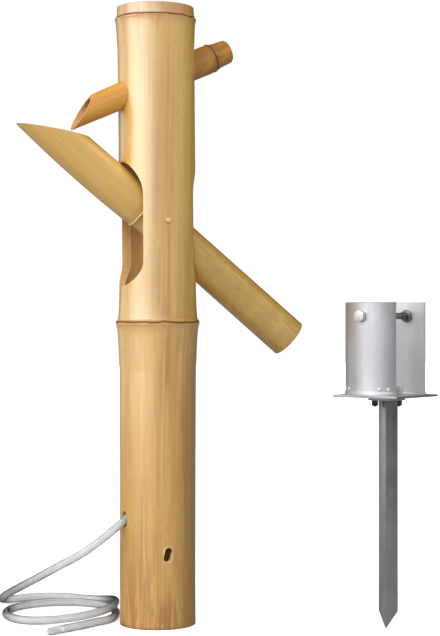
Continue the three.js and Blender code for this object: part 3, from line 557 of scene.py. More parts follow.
def bamboo_skin(name, tones, nodes, roughness, ends=(), speck=0.6, streak=0.5, band=0.004, base=None,
                zones=(), holes=(), line=(0.13, 0.055, 0.015), coat=(1.0, 1.0), painted_shade_side=None):
    """The grown outside of a cane along local X.

    tones: three from dark to light, and one that the fibres are darkened with
    nodes, ends: places along the cane with the tone round them, the ends with its reach as well
    zones: start, end, share and tone of a change of colour along the cane
    base: the stained foot; the last tone: painted shade that darkens the side away from the lamps, more
    towards the foot
    holes: the lowest and highest centre, the radius and the tone of a lighter ring round them
    coat: the gloss at the foot and further up
    """
    t = Tree(bpy.data.materials.new(name))
    vector, along, aside = place_of(t)
    broad = t.grain(vector, (3.2, 20, 20), 3)
    colour = t.ramp(broad, [(0.3, tones[0]), (0.5, tones[1]), (0.7, tones[2])])
    for start, end, share, tone in zones:
        patchy = t.fade(t.grain(vector, (45, 60, 60), 3, 0.65), 0.3, 0.62, 0.6, 1)
        colour = t.mix(t.maths("MULTIPLY", t.fade(along, start, end, 0, share), patchy), colour, tone)
    # painted shade: the side away from the lamps is darkened, more towards the foot
    if painted_shade_side:
        low = t.maths("MULTIPLY", t.fade(along, 0.95, 0.05), t.fade(aside, -0.008, 0.052, 0, 0.92))
        colour = t.mix(low, colour, painted_shade_side)
    bands = t.grain(vector, (1.6, 75, 75), 3, 0.55)
    colour = t.mix(t.fade(bands, 0.52, 0.68, 0, streak), colour, t.mix(0.75, colour, tones[3], "MULTIPLY"))
    fibres = t.grain(vector, (7, 420, 420), 3, 0.6)
    colour = t.mix(t.fade(fibres, 0.5, 0.72, 0, streak), colour, t.mix(0.6, colour, tones[3], "MULTIPLY"))
    colour = t.mix(t.fade(t.grain(vector, (4, 150, 150)), 0.55, 0.78, 0, streak), colour, tones[2])
    if base:
        depth, tone = base
        stain = t.fade(t.grain(vector, (12, 90, 90), 4, 0.65), 0.42, 0.62)
        colour = t.mix(t.maths("MULTIPLY", t.fade(along, depth, 0, 0, 1), stain), colour, tone)
    spots = t.fade(t.grain(vector, (260, 620, 620), 1), 0.735, 0.78, 0, speck)
    colour = t.mix(spots, colour, (0.09, 0.05, 0.025))
    blots = t.fade(t.grain(vector, (120, 300, 300), 1), 0.735, 0.77, 0, speck)
    colour = t.mix(blots, colour, (0.30, 0.16, 0.05))
    uneven = t.maths("SUBTRACT", t.grain(vector, (1, 30, 30)), 0.5)
    here = t.maths("ADD", along, t.maths("MULTIPLY", uneven, 0.006))
    grooves = None
    for at, tone in nodes:
        away = t.apart(here, at)
        cloudy = t.fade(t.grain(vector, (60, 60, 60), 3, 0.6), 0.3, 0.7, 0.35, 1)
        colour = t.mix(t.maths("MULTIPLY", t.fade(away, band * 5, 0, 0, 0.65), cloudy), colour, tone)
        colour = t.mix(t.fade(away, band * 0.62, band * 0.2, 0, 0.92), colour, line)
        groove = t.fade(away, band * 0.62, 0)
        grooves = groove if grooves is None else t.maths("ADD", grooves, groove)
    for at, reach, tone in ends:
        colour = t.mix(t.fade(t.apart(here, at), reach, 0, 0, 0.8), colour, tone)
    for low, high, radius, tone in holes:
        beyond = t.maths("SUBTRACT", t.apart(along, (low + high) / 2), (high - low) / 2)
        beyond = t.maths("MAXIMUM", beyond, 0)
        reach = t.maths("SQRT", t.maths("ADD", t.maths("POWER", beyond, 2), t.maths("POWER", aside, 2)))
        colour = t.mix(t.fade(reach, radius * 1.55, radius * 1.05, 0, 0.75), colour, tone)
    t.set(Base_Color=colour, Roughness=t.fade(broad, 0.2, 0.8, roughness + 0.06, roughness - 0.05))
    shine = t.fade(along, 0.03, 0.6, coat[0], coat[1])
    t.set(Coat_IOR=2.8, Coat_Roughness=0.35, Specular_IOR_Level=0.3)
    t.set(Coat_Weight=t.maths("MULTIPLY", shine, t.fade(grooves, 0, 0.5, 1, 0)))
    height = t.maths("SUBTRACT", t.maths("MULTIPLY", fibres, 0.35), grooves)
    t.bump(t.maths("SUBTRACT", height, t.maths("MULTIPLY", spots, 0.6)), 0.0006, 0.6)
    return t.owner


def cut_wood(name, tones, roughness=0.62, glow=0.0):
    """Sawn or carved bamboo with its fibres; the glow stands for light thrown back within a bore."""
    t = Tree(bpy.data.materials.new(name))
    vector = place_of(t)[0]
    fibres = t.grain(vector, (18, 700, 700), 3, 0.65)
    broad = t.grain(vector, (30, 40, 40), 3)
    colour = t.ramp(fibres, [(0.3, tones[0]), (0.52, tones[1]), (0.7, tones[2])])
    colour = t.mix(t.fade(broad, 0.35, 0.7, 0, 0.45), colour, tones[0])
    t.set(Base_Color=colour, Roughness=roughness, Emission_Color=colour, Emission_Strength=glow)
    t.bump(fibres, 0.0008, 0.5)
    return t.owner


column_skin = bamboo_skin(
    "column_bamboo",
    [(0.69, 0.37, 0.06), (0.80, 0.465, 0.095), (0.87, 0.56, 0.15), (0.76, 0.45, 0.16)],
    [(COLUMN.node * MM, (0.60, 0.30, 0.07)), (UPPER_NODE * MM, (0.62, 0.29, 0.06))],
    # the last tone is painted shade on the column's side away from the lamps, towards the foot
    0.38, streak=0.75, coat=(0.62, 1.0), painted_shade_side=(0.31, 0.15, 0.004),
    ends=[(0, 0.006, (0.22, 0.13, 0.06))],
    base=(0.19, (0.42, 0.17, 0.012)),
    # the first zone is painted shade: the column grows darker towards the foot
    zones=[(0.7, 0.05, 0.45, (0.46, 0.235, 0.02)),
           (UPPER_NODE * MM - 0.001, UPPER_NODE * MM + 0.003, 0.85, (0.66, 0.31, 0.075))],
    holes=[((BOLT_HOLE.height - BOLT_HOLE.spread) * MM, (BOLT_HOLE.height + BOLT_HOLE.spread) * MM,
            BOLT_HOLE.radius * MM, (0.86, 0.62, 0.27))])
rocker_skin = bamboo_skin(
    "rocker_bamboo",
    [(0.64, 0.365, 0.06), (0.75, 0.45, 0.09), (0.82, 0.53, 0.15), (0.80, 0.56, 0.30)],
    [(ROCKER.node * MM, (0.48, 0.24, 0.055))], 0.3, band=0.003, streak=0.35,
    # the zone is painted shade: the rocker darker towards its tail, behind the column
    line=(0.82, 0.60, 0.27), coat=(0.65, 0.65), zones=[(0.02, -0.06, 0.8, (0.47, 0.26, 0.03))])
spout_skin = bamboo_skin(
    "spout_bamboo",
    [(0.60, 0.27, 0.035), (0.74, 0.365, 0.055), (0.81, 0.44, 0.09), (0.7, 0.45, 0.25)],
    [(-SPOUT.node * MM, (0.26, 0.12, 0.035))], 0.33, band=0.0028, coat=(0.25, 0.25),
    # the zone is painted shade: the spout's stub behind the column darkened
    zones=[(0.0, -0.075, 0.95, (0.38, 0.165, 0.02))])
column_cut = cut_wood("column_bamboo_cut", [(0.60, 0.34, 0.11), (0.76, 0.49, 0.20), (0.86, 0.65, 0.34)])
column_inner = cut_wood("column_bamboo_inside", [(0.70, 0.41, 0.14), (0.82, 0.54, 0.22), (0.9, 0.66, 0.33)],
                        0.55, 0.013)
rocker_cut = cut_wood("rocker_bamboo_cut", [(0.44, 0.25, 0.08), (0.62, 0.40, 0.16), (0.76, 0.56, 0.29)])
spout_cut = cut_wood("spout_bamboo_cut", [(0.46, 0.24, 0.08), (0.64, 0.37, 0.14), (0.78, 0.52, 0.25)])
dowel_wood = cut_wood("dowel_wood", [(0.72, 0.38, 0.12), (0.90, 0.56, 0.24), (0.95, 0.70, 0.40)], 0.5)


def clear_hose():
    t = Tree(bpy.data.materials.new("clear_hose"))
    vector = t.add("TexCoord", out=3)
    haze = t.noise(vector, 60, 2)
    facing = t.add("LayerWeight", {"Blend": 0.5}, out=1)
    clear = t.ramp(haze, [(0.3, (0.78, 0.79, 0.795)), (0.7, (0.88, 0.885, 0.885))])
    # painted shade: the tube's colour darkens where it is seen edge-on, at its outline
    t.set(Base_Color=t.mix(t.fade(facing, 0.4, 0.9), clear, (0.06, 0.063, 0.066)))
    t.set(Roughness=0.14, IOR=1.3, Transmission_Weight=0.68)
    t.set(Coat_Weight=0.3, Coat_Roughness=0.08)
    return t.owner


def steel(name, tones, roughness, scale=(240, 240, 9), metal=1.0):
    """Plated or rolled steel with faint drawn lines and a cloudy sheen."""
    t = Tree(bpy.data.materials.new(name))
    vector = place_of(t)[0]
    lines = t.grain(vector, scale, 3, 0.6)
    cloud = t.grain(vector, (35, 35, 22), 4, 0.6)
    colour = t.ramp(cloud, [(0.3, tones[0]), (0.7, tones[1])])
    colour = t.mix(t.fade(lines, 0.45, 0.75, 0, 0.25), colour, tones[0])
    t.set(Base_Color=colour, Metallic=metal)
    t.set(Roughness=t.fade(lines, 0.3, 0.7, roughness - 0.05, roughness + 0.07))
    t.bump(lines, 0.0002, 0.25)
    return t.owner


hose_plastic = clear_hose()
jaw_steel = steel("jaw_steel", [(0.62, 0.625, 0.66), (0.72, 0.725, 0.76)], 0.48, metal=0.94)
# the jaws' inner faces: the same steel made lighter and less metallic, a painted reflection of the bright
# room
jaw_inside_painted_reflection = steel("jaw_steel_inside_painted_reflection", [(0.74, 0.745, 0.77), (0.84, 0.845, 0.87)], 0.5, metal=0.35)
dark_iron = steel("dark_iron", [(0.44, 0.435, 0.435), (0.60, 0.595, 0.595)], 0.42, metal=0.92)
under_iron = steel("under_iron", [(0.17, 0.165, 0.16), (0.30, 0.295, 0.29)], 0.38, metal=0.9)
thread_steel = steel("thread_steel", [(0.16, 0.15, 0.14), (0.3, 0.28, 0.26)], 0.32, (60, 60, 60))
bolt_steel = steel("bolt_steel", [(0.72, 0.70, 0.66), (0.86, 0.84, 0.80)], 0.45, (60, 60, 60), 0.6)


# the free hose
line = even(catmull(hose_route), 3)
hose = tube("hose", line, HOSE.radius, HOSE.wall, 24, [hose_plastic])
settle(hose, "stand", ["hose_drop", "hose_coil", "hose_tail"], angle=60)

inner = tube("rising_hose", even(catmull(inner_route), 4), HOSE.radius, HOSE.wall, 20, [hose_plastic])
settle(inner, "stand", ["inner_hose"], angle=60)


def end_fitting():
    """The ringed connector, turned from its sleeve to its nose."""
    f = FITTING
    groove = f.radius - f.ring
    outline = [(0, f.radius - 1.5), (0, groove - 0.3), (0.3, groove)]
    for i in range(f.count):
        start = f.first + i * f.pitch
        outline += [(start, groove), (start + 0.25, f.radius - 0.1), (start + 0.5, f.radius)]
        outline += [(start + f.width - 0.35, f.radius), (start + f.width, groove)]
    nose = f.length - (f.radius - f.nose)
    outline += [(nose, groove), (f.length - 0.4, f.nose + 0.3), (f.length, f.nose - 0.2)]
    outline += [(f.length, f.bore), (f.length - f.bore_depth, f.bore)]
    count = 40
    verts = [(x, r * c, r * s) for x, r in outline for c, s in circle(count)]
    return make("hose_end", verts, capped(len(outline), count), [hose_plastic])


last, before = Vector(hose_route[-1]), Vector(hose_route[-2])
way = (last - before).normalized()
seat = last + way * SEAT
fitting = settle(end_fitting(), "stand", ["hose_end_fitting"],
                 placed(turn=math.atan2(way.y, way.x), x=seat.x, y=seat.y, z=GROUND_HEIGHT))


# the bamboo column
def bowed(p):
    share = max(0, p.z - COLUMN.node) / (COLUMN_TOP - COLUMN.node)
    heading = rad(COIL.heading) + math.pi
    lean = COLUMN.bow * share * share
    return Vector((p.x + lean * math.cos(heading), p.y + lean * math.sin(heading), p.z))


def upright(obj):
    obj.data.transform(STAND_UP)
    return reshape(obj, bowed)


def rocker_slope(along):
    r = ROCKER
    kinked = smoothstep(along, r.node - r.kink_reach, r.node + r.kink_reach)
    curled = max(0, along - r.node) / (r.tip - r.node)
    return rad(r.curl * curled - r.kink * kinked)


def rocker_spine(along, steps=40):
    x = z = 0
    step = along / steps
    for i in range(steps):
        slope = rocker_slope((i + 0.5) * step)
        x += step * math.cos(slope)
        z += step * math.sin(slope)
    return x, z, rocker_slope(along)


def bent(p):
    x, z, slope = rocker_spine(p.x)
    return Vector((x - p.z * math.sin(slope), p.y, z + p.z * math.cos(slope)))


def slot_cutter(top):
    foot = top - SLOT.rise
    sill_end = PIVOT - SLOT.sill + SLOT.sill_drop
    outline = []
    for start, middle, reach in ((0, foot, SLOT.rise), (math.pi, sill_end, SLOT.sill_drop)):
        for i in range(33):
            a = start + math.pi * i / 32
            outline.append((SLOT_HALF * math.cos(a), middle + reach * math.sin(a)))
    turned = Matrix.Rotation(math.pi / 2 + rad(SLOT.skew), 4, "Z") @ TIP_UP
    return prism("slot", outline, -REACH.slot, REACH.slot, turned, [column_cut])


def arch_top():
    """How high the slots' arch stands so that the resting rocker just lies under it."""
    rest, skew, n = rad(ROCKER.slope), rad(SLOT.skew), 60
    top = 0
    for i in range(n + 1):
        sx, sz, slope = rocker_spine(ROCKER.node + i / n * 2 * COLUMN.radius)
        for j in range(1, n):
            across = FRONT_RADIUS * (2 * j / n - 1)
            out = math.sqrt(FRONT_RADIUS ** 2 - across ** 2)
            x, z = sx - out * math.sin(slope), sz + out * math.cos(slope)
            forward = x * math.cos(rest) - z * math.sin(rest)
            height = x * math.sin(rest) + z * math.cos(rest)
            nearer = across + ROCKER.shift
            ahead = forward * math.cos(skew) + nearer * math.sin(skew)
            aside = nearer * math.cos(skew) - forward * math.sin(skew)
            if math.hypot(ahead, aside) > COLUMN.radius + SLOT.rest or abs(aside) >= SLOT_HALF:
                continue
            drop = SLOT.rise * (1 - math.sqrt(1 - (aside / SLOT_HALF) ** 2))
            top = max(top, PIVOT + height + drop + SLOT.rest)
    return top


slot_top = arch_top()
column_stations = [(0, COLUMN.foot), (COLUMN.node, COLUMN.radius), (COLUMN_TOP, COLUMN.radius)]
column_rings = [Sizes(**vars(COLUMN_RING), at=COLUMN.node), Sizes(**vars(RIM_RING), at=UPPER_NODE)]
column = upright(cane("column", column_stations, column_rings, 144, COLUMN.edge, COLUMN.edge, wave=1,
                      materials=[column_skin, column_cut, column_inner]))
half = COLUMN.diaphragm / 2


def bore(start, end):
    return upright(cane("bore", [(start, BORE), (end, BORE)], count=96, step=20, wave=0.8, seed=3,
                        materials=[column_inner]))


def column_hole(name, radius, start, end, place, turned):
    return bar(name, radius, start, end, matrix=Matrix.Translation(place) @ turned, materials=[column_cut])


cutters = [
    bore(-OVERCUT, COLUMN.node - half),
    bore(COLUMN.node + half, UPPER_NODE - half),
    bore(UPPER_NODE + half, COLUMN_TOP + OVERCUT),
    slot_cutter(slot_top),
    column_hole("dowel_hole", DOWEL.radius + SEAT, -REACH.hole, REACH.hole, (0, 0, PIVOT), ACROSS),
    column_hole("node_hole", HOSE.radius + NODE_HOLE.clearance, COLUMN.node - NODE_HOLE.reach,
                COLUMN.node + NODE_HOLE.reach, (NODE_HOLE.x, NODE_HOLE.y, 0), STAND_UP),
]
for way_up in (-1, 0, 1):
    place = (way_up * BOLT_HOLE.slant, 0, BOLT_HOLE.height + way_up * BOLT_HOLE.spread)
    cutters.append(column_hole("bolt_hole", BOLT_HOLE.radius, -REACH.hole, REACH.hole, place, ACROSS))
for way_up in (-1, 1):
    place = (0, 0, HOSE.hole + way_up * SIDE_HOLE.spread)
    turned = Matrix.Rotation(math.pi + rad(HOSE.exit_heading), 4, "Z")
    cutters.append(column_hole("side_hole", SIDE_HOLE.radius, 0, REACH.hole, place, turned))


spout_stations = [(-SPOUT.tail, SPOUT.tail_radius), (-SPOUT.node - SPOUT_RING.below, SPOUT.neck),
                  (-SPOUT.node + SPOUT_RING.above, SPOUT.shoulder), (0, SPOUT.radius),
                  (SPOUT.tip, SPOUT.tip_radius)]


def spout_body(name, grown, materials, wave, count=96):
    s = SPOUT
    stations = [(place, radius + grown) for place, radius in spout_stations]
    rings = [] if grown else [Sizes(**vars(SPOUT_RING), at=-s.node)]
    return cane(name, stations, rings, count, start_edge=0 if grown else s.tail_edge, step=6, wave=wave,
                materials=materials, seed=9)


spout_place = placed(tip=rad(SPOUT.slope), turn=math.pi + rad(SLOT.skew), z=SPOUT.height)
spout_hole = spout_body("spout_hole", SEAT, [column_cut], 0, 64)
spout_hole.data.transform(spout_place)
cutters.append(spout_hole)
cut(column, cutters)
settle(column, "stand", ["bamboo_column"], local=lambda p: (p.z, p.x, p.y))


# the rocker
def rocker_tube():
    r = ROCKER
    front = r.tip + r.taper
    start = r.node + ROCKER_RING.above
    stations = [(-r.tail, r.radius + r.flare), (r.node - ROCKER_RING.below, r.radius),
                (start, FRONT_RADIUS), (front, FRONT_RADIUS - r.taper)]
    ring = Sizes(**vars(ROCKER_RING), at=r.node)
    body = reshape(cane("rocker", stations, [ring], 112, COLUMN.edge, wave=0.6, seed=5,
                        materials=[rocker_skin, rocker_cut]), bent)

    def inside(low, high):
        steps = 24
        walls = [(lerp(low, high, i / steps), between(stations, lerp(low, high, i / steps)) - r.wall)
                 for i in range(steps + 1)]
        return reshape(cane("chamber", walls, count=80, step=0, materials=[rocker_cut]), bent)

    def surface(along, way_out):
        x, z, slope = rocker_spine(along)
        out = way_out * between(stations, along)
        return Vector((x - out * math.sin(slope), z + out * math.cos(slope)))

    lip, tip = surface(r.lip, 1), surface(r.tip, -1)
    reach, high = tip - lip, Vector((0, 900))
    corners = [lip - reach, tip + reach, tip + reach + high, lip - reach + high]
    scoop = prism("scoop", [tuple(c) for c in corners], -REACH.scoop, REACH.scoop, TIP_UP, [rocker_cut])
    hole = bar("hole", DOWEL.radius + DOWEL.clearance, -REACH.rocker, REACH.rocker, matrix=ACROSS,
               materials=[rocker_cut])
    return cut(body, [inside(-r.tail - OVERCUT, r.node - r.diaphragm / 2),
                      inside(r.node + r.diaphragm / 2, front + OVERCUT), scoop, hole])


rocker_place = placed(tip=-rad(ROCKER.slope), turn=math.pi, y=-ROCKER.shift, z=PIVOT)
settle(rocker_tube(), "rocker", ["tipper_tube"], rocker_place)


# the spout
def spout_tube():
    s = SPOUT
    outside = spout_body("spout", 0, [spout_skin, spout_cut], 0.5)
    half_wall = s.diaphragm / 2
    walls = [(half_wall - s.node, s.shoulder - s.wall), (0, s.radius - s.wall),
             (s.tip + OVERCUT, s.tip_radius - s.wall)]
    chamber = cane("chamber", walls, count=72, step=20, materials=[spout_cut])
    stub = bar("stub", s.tail_radius - s.stub_wall, -s.tail - OVERCUT, -s.node - half_wall, 48,
               materials=[spout_cut])
    lip = Vector((s.lip, between(spout_stations, s.lip)))
    tip = Vector((s.tip, -s.tip_radius))
    reach = tip - lip
    above, below = lip - reach, tip + reach
    corners = [tuple(above), tuple(below), (below.x + s.tip, below.y), (below.x + s.tip, above.y)]
    mouth = prism("mouth", corners, -REACH.mouth, REACH.mouth, TIP_UP, [spout_cut])
    turned = Matrix.Rotation(-rad(s.slope), 4, "Y") @ LIE_DOWN
    hole = bar("hole", HOSE.radius + s.hose_gap, 0, s.hose_reach, matrix=turned, materials=[spout_cut])
    return cut(outside, [chamber, stub, mouth, hole])


settle(spout_tube(), "stand", ["spout_tube"], spout_place)


# the pivot dowel
dowel_end = COLUMN.radius + DOWEL.proud
dowel = cane("dowel", [(-dowel_end, DOWEL.radius), (dowel_end, DOWEL.radius)], (), 28, DOWEL.edge,
             DOWEL.edge, step=6, wave=0.25, materials=[dowel_wood])
settle(dowel, "stand", ["pivot_dowel"], placed(turn=math.pi / 2, z=PIVOT))


# the ground spike
spike_place = placed(turn=math.pi + rad(SPIKE.heading), x=SPIKE.x, y=SPIKE.y)


def jaw(name):
    """A curved sheet with its flared foot, bolt hole and weld marks; it opens towards -X."""
    j = JAW
    low, inner_r, outer_r = PLATE_TOP + SEAT, j.radius, j.radius + j.wall
    top = low + j.height
    rim = j.rim
    outline = [(inner_r, low), (outer_r + j.flare, low)]
    outline.append((outer_r + j.flare, low + j.flare_height / 4))
    for k in range(1, 9):
        t = k / 8
        height = low + j.flare_height * lerp(0.25, 1, t)
        outline.append((outer_r + j.flare * (1 - smoothstep(t, 0, 1)), height))
    outline += [(outer_r, lerp(low, top, t)) for t in (0.2, 0.4, 0.6, 0.8)]
    outline += [(outer_r, top - rim), (outer_r - rim, top), (inner_r + rim, top), (inner_r, top - rim)]
    outline += [(inner_r, lerp(low, top, t)) for t in (0.8, 0.6, 0.4, 0.2)]
    steps = 64
    verts = []
    for i in range(steps + 1):
        a = rad(lerp(-j.half, j.half, i / steps))
        verts += [(r * math.cos(a), r * math.sin(a), z) for r, z in outline]
    shell = make(name, verts, capped(steps + 1, len(outline)), [jaw_steel, jaw_inside_painted_reflection])
    # the inner faces take the lighter copy of the steel: painted reflection
    for face in shell.data.polygons:
        reach = max(math.hypot(*shell.data.vertices[v].co.xy) for v in face.vertices)
        face.material_index = 1 if reach < inner_r + 0.1 else 0
    hole = bar("hole", CLAMP.radius + SEAT, 0, REACH.jaw,
               matrix=Matrix.Translation((0, 0, PLATE_TOP + CLAMP.above)), materials=[jaw_steel])
    cut(shell, [hole])
    pips = [weld_pip(way * at, outer_r) for at in j.pip_angles for way in (-1, 1)]
    return cut(shell, pips, "UNION")


def weld_pip(turned, outer_r, rings=6, count=24):
    """A low round mark at the jaw's foot, a little out of round and let into the sheet."""
    height = PLATE_TOP + JAW.pip_height
    verts = []
    for i in range(rings + 1):
        t = i / rings
        out = JAW.pip_proud * math.sqrt(max(0, 1 - t * t))
        for k in range(count):
            a = math.tau * k / count
            r = JAW.pip_radius * t * (1 + 0.07 * math.sin(3 * a + turned))
            verts.append((outer_r - 0.25 + out, r * math.cos(a), height + r * math.sin(a)))
    faces = skin(rings + 1, count) + fan(rings, count, len(verts))
    verts.append((outer_r - 0.9, 0, height))
    pip = make("pip", verts, faces, [bolt_steel])
    pip.data.transform(Matrix.Rotation(rad(turned), 4, "Z"))
    return pip


def rounded_square(side, corner, steps=6):
    h = side / 2 - corner
    outline = []
    for i, (cx, cy) in enumerate(((h, h), (-h, h), (-h, -h), (h, -h))):
        for k in range(steps + 1):
            a = math.pi / 2 * (i + k / steps)
            outline.append((cx + corner * math.cos(a), cy + corner * math.sin(a)))
    return outline


def seen_on_corner(right, back=0):
    """A place from how far it lies to the right and to the back, seen on the plates' corner."""
    return Vector((-(right + back), right - back, 0)) * math.sqrt(0.5)


def holed_plate(name, size, low, material):
    place = Matrix.Translation(seen_on_corner(size.right)) @ Matrix.Rotation(rad(size.turn), 4, "Z")
    plate = prism(name, rounded_square(size.side, size.corner), low, low + size.thickness, place,
                  [material, dark_iron])
    for face in plate.data.polygons:
        face.material_index = 0 if abs(face.normal.z) > 0.5 else 1
    holes = []
    for spot in FLANGE_PLACES.values():
        offset = Matrix.Translation(seen_on_corner(*spot))
        holes.append(bar("hole", FLANGE.radius + SEAT, low - OVERCUT, low + size.thickness + OVERCUT,
                         matrix=offset @ STAND_UP, materials=[material]))
    return bevelled(cut(plate, holes), ROUNDED.plate)


def hexagon(across_flats):
    r = across_flats / 2 / math.cos(math.pi / 6)
    return [(r * math.cos(math.pi * i / 3), r * math.sin(math.pi * i / 3)) for i in range(6)]


def crowned(obj, across_flats, low, high):
    """Turns the corners of a hexagon down to a cone, at both ends or, with no low end, at the high one."""
    r = across_flats / 2
    corner = r / math.cos(math.pi / 6)
    drop = (corner - r) * CROWN.depth
    top = [(high - drop, corner + CROWN.spare), (high, r * CROWN.face)]
    if low is None:
        foot = [(-50, r * CROWN.free), (-49, r * CROWN.free)]
    else:
        foot = [(low, r * CROWN.face), (low + drop, corner + CROWN.spare)]
    cone = cane("cone", foot + top, count=72, step=0, materials=list(obj.data.materials))
    cone.data.transform(STAND_UP)
    return cut(obj, [cone], "INTERSECT")


def screw(radius, length, start, pitch):
    """A shank along -Z with its thread from the start distance to the end, turned as rings of one helix."""
    count, per, depth = 28, 6, 0.5 * pitch
    turn = circle(count)
    steps = int((length - start - SHANK.run_out) / pitch) * per
    rows = [(SHANK.buried, radius, 0), (-start, radius, 0)]
    rows += [(-start - SHANK.run_in - i * pitch / per, None, i / per) for i in range(steps + 1)]
    rows.append((-length + SHANK.tip, radius - 0.08 * pitch - 0.3, 0))
    rows.append((-length, radius - depth, 0))
    verts = []
    for z, r, phase in rows:
        for k, (c, s) in enumerate(turn):
            reach = r
            if r is None:
                share = (phase + k / count) % 1
                reach = radius - depth * abs(2 * share - 1)
            verts.append((reach * c, reach * s, z))
    return verts, capped(len(rows), count)


def bolt(name, size, length, start):
    low = getattr(size, "collar_height", 0)
    top = low + size.head
    head = prism(name, hexagon(size.across), low, top, None, [bolt_steel])
    crowned(head, size.across, None, top)
    bevelled(head, ROUNDED.head, 1)
    parts = [make("shank", *screw(size.radius, length, start, size.pitch), [thread_steel])]
    if low:
        r = size.collar
        rings = [(0, r - 0.3), (0.3, r), (low / 2 - 0.1, r), (low / 2, r - 0.4), (low / 2 + 0.1, r),
                 (low, r - 0.1), (low + 2, r - 1)]
        collar = cane("collar", rings, count=40, step=0, materials=[bolt_steel])
        collar.data.transform(STAND_UP)
        parts.append(collar)
    return cut(head, parts, "UNION")


def nut(name, across_flats, height, radius, material):
    body = prism(name, hexagon(across_flats), 0, height, None, [material])
    crowned(body, across_flats, 0, height)
    hole = bar("hole", radius, -OVERCUT, height + OVERCUT, matrix=STAND_UP, materials=[material])
    return bevelled(cut(body, [hole]), ROUNDED.head, 1)


def spike_piece(obj, node_name, matrix=Matrix.Identity(4)):
    return settle(obj, "stand", [node_name], spike_place @ matrix)


under_low = IRON.length + SEAT
plate_low = under_low + UNDER.thickness + SEAT
spike_piece(jaw("jaw_front"), "clamp_shell_front")
spike_piece(jaw("jaw_rear"), "clamp_shell_rear", Matrix.Rotation(math.pi, 4, "Z"))
spike_piece(holed_plate("square_plate", PLATE, plate_low, jaw_steel), "spike_base_plate")
spike_piece(holed_plate("small_plate", UNDER, under_low, under_iron), "under_plate")


def angle_iron():
    """The pointed angle iron: a rolled section with a rounded inner corner, cut aslant to its point."""
    i = IRON
    leg, thick, root = i.leg, i.thickness, i.root
    toe = [(leg, thick * 0.55), (leg - 0.5, thick * 0.87), (leg - 1.3, thick)]
    outline = [(0, 0), (leg, 0), *toe]
    for k in range(7):
        a = math.pi / 2 * k / 6
        outline.append((thick + root - root * math.sin(a), thick + root - root * math.cos(a)))
    outline += [(y, x) for x, y in reversed(toe)] + [(0, leg)]
    iron = prism("iron", outline, 0, i.length, Matrix.Rotation(math.pi - rad(45), 4, "Z"), [dark_iron])
    back = leg * math.sqrt(0.5)
    corners = [(4, -4 * i.point / back), (4, -2 * i.point), (-2 * back, -2 * i.point),
               (-2 * back, 2 * i.point)]
    cut(iron, [prism("cutter", corners, -REACH.iron, REACH.iron, TIP_UP, [dark_iron])])
    turned = Matrix.Rotation(rad(i.turn), 4, "Z") @ Matrix.Translation((i.heel, 0, 0))
    iron.data.transform(Matrix.Translation(seen_on_corner(i.right)) @ turned)
    return bevelled(iron, ROUNDED.iron, 2, 50)


spike_piece(angle_iron(), "angle_spike")
jaw_outer = JAW.radius + JAW.wall
bolt_height = PLATE_TOP + CLAMP.above
bolt_length = 2 * jaw_outer + SEAT + CLAMP.proud
spike_piece(bolt("clamp_screw", CLAMP, bolt_length, bolt_length - CLAMP.thread), "clamp_bolt",
            Matrix.Translation((jaw_outer + SEAT, 0, bolt_height)) @ LIE_DOWN)
nut_seat = math.sqrt(JAW.radius ** 2 - (CLAMP.across / 2 / math.cos(math.pi / 6)) ** 2) - SEAT
spike_piece(nut("clamp_screw_nut", CLAMP.across, CLAMP.nut, CLAMP.radius + SEAT, thread_steel),
            "clamp_nut", Matrix.Translation((-nut_seat, 0, bolt_height)) @ LIE_DOWN)
stack = PLATE.thickness + UNDER.thickness + 2 * SEAT
flange_length = stack + SEAT + FLANGE.nut + FLANGE.proud
for side, spot in FLANGE_PLACES.items():
    x, y, _ = seen_on_corner(*spot)
    spike_piece(bolt("plate_bolt_" + side, FLANGE, flange_length, FLANGE.plain),
                "flange_bolt_" + side, placed(x=x, y=y, z=PLATE_TOP + SEAT))
    flange_nut = nut("plate_nut_" + side, FLANGE.nut_across, FLANGE.nut, FLANGE.radius + SEAT, under_iron)
    spike_piece(flange_nut, "flange_nut_" + side,
                placed(x=x, y=y, z=IRON.length - FLANGE.nut))


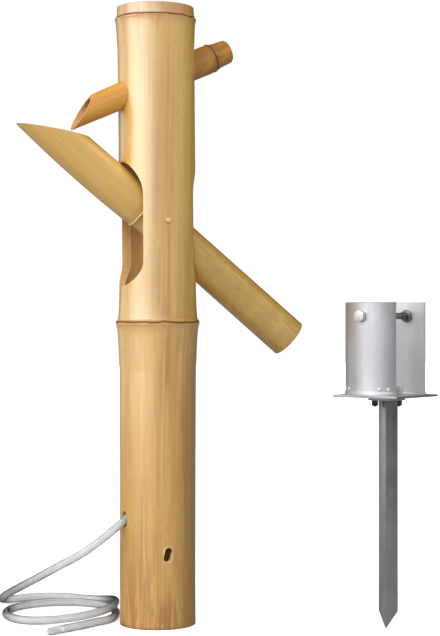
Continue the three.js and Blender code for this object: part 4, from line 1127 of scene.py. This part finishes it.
# floor, background and light
def floor():
    size = 14
    verts = [(-size, -size, 0), (size, -size, 0), (size, size, 0), (-size, size, 0)]
    mesh = bpy.data.meshes.new("floor")
    mesh.from_pydata(verts, [], [(0, 1, 2, 3)])
    obj = put_in_scene("floor", mesh)
    t = Tree(bpy.data.materials.new("floor_paint"))
    cloud = t.noise(t.add("TexCoord", out=3), 1.2, 2)
    plain = t.ramp(cloud, [(0.3, (0.28, 0.28, 0.28)), (0.7, (0.32, 0.32, 0.32))])
    rays = [t.add("LightPath", out=ray) for ray in ("Is Camera Ray", "Is Transmission Ray")]
    seen = t.maths("MINIMUM", t.maths("ADD", *rays), 1)
    t.set(Base_Color=t.mix(seen, plain, (1, 1, 1)), Roughness=0.9, Specular_IOR_Level=0.0)
    far = t.add("VectorMath", {0: t.add("NewGeometry", out=0)}, out=1, operation="LENGTH")
    glow = t.maths("MULTIPLY", seen, t.fade(far, 0.3, 2.2, 0.6, 1.1))
    t.set(Emission_Color=(1, 1, 1), Emission_Strength=glow)
    mesh.materials.append(t.owner)


floor()
world = bpy.data.worlds.new("studio")
bpy.context.scene.world = world
sky = Tree(world, "Background")


def ray_share(ray, share, rest):
    """Mixes a brightness for one kind of ray over the rest."""
    return sky.add("Mix", {0: sky.add("LightPath", out=ray), 2: rest, 3: share}, data_type="FLOAT")


def by_side(toward, least, most, start):
    """A brightness that grows towards one side of the room."""
    facing = sky.add("VectorMath", {0: sky.add("TexCoord", out="Generated"), 1: toward}, out="Value",
                     operation="DOT_PRODUCT")
    return sky.span(facing, start, 0.95, least, most)


mirrored = by_side((-0.9, -0.3, 0.3), 0.02, 1.1, 0.4)
strength = ray_share("Is Glossy Ray", mirrored, by_side((-0.45, -0.88, 0.15), 0.32, 1.72, -0.15))
strength = ray_share("Is Transmission Ray", 1.0, strength)
strength = ray_share("Is Camera Ray", 1.04, strength)
sky.set(Color=(1, 1, 1), Strength=strength)


def lamp(name, place, target, width, height, power, colour=(1, 1, 1)):
    data = bpy.data.lights.new(name, "AREA")
    data.shape = "RECTANGLE"
    data.size, data.size_y, data.energy, data.color = width, height, power, colour
    aim(put_in_scene(name, data), place, Vector(target) - Vector(place))


lamp("key", (-2.54, -0.5, 1.45), (0, 0, 0.5), 2.2, 2.4, 20, (1, 0.985, 0.975))
lamp("front", (-1.95, -1.85, 1.5), (0, 0, 0.5), 1.2, 2.2, 8, (1, 0.985, 0.96))
lamp("side", (-1.58, 2.07, 1.2), (0, 0, 0.5), 0.9, 2.2, 7)
lamp("top", (2.2, -1.1, 2.5), (0, 0, 0.7), 0.35, 1.6, 2.8)
lamp("strip", (1.55, -2.1, 1.2), (0, 0, 0.7), 0.25, 1.6, 0.6)
lamp("fill", (-0.5, -2.6, 2.8), (0, 0, 0.9), 1.4, 1.4, 12)

bpy.context.scene.view_settings.view_transform = "Standard"
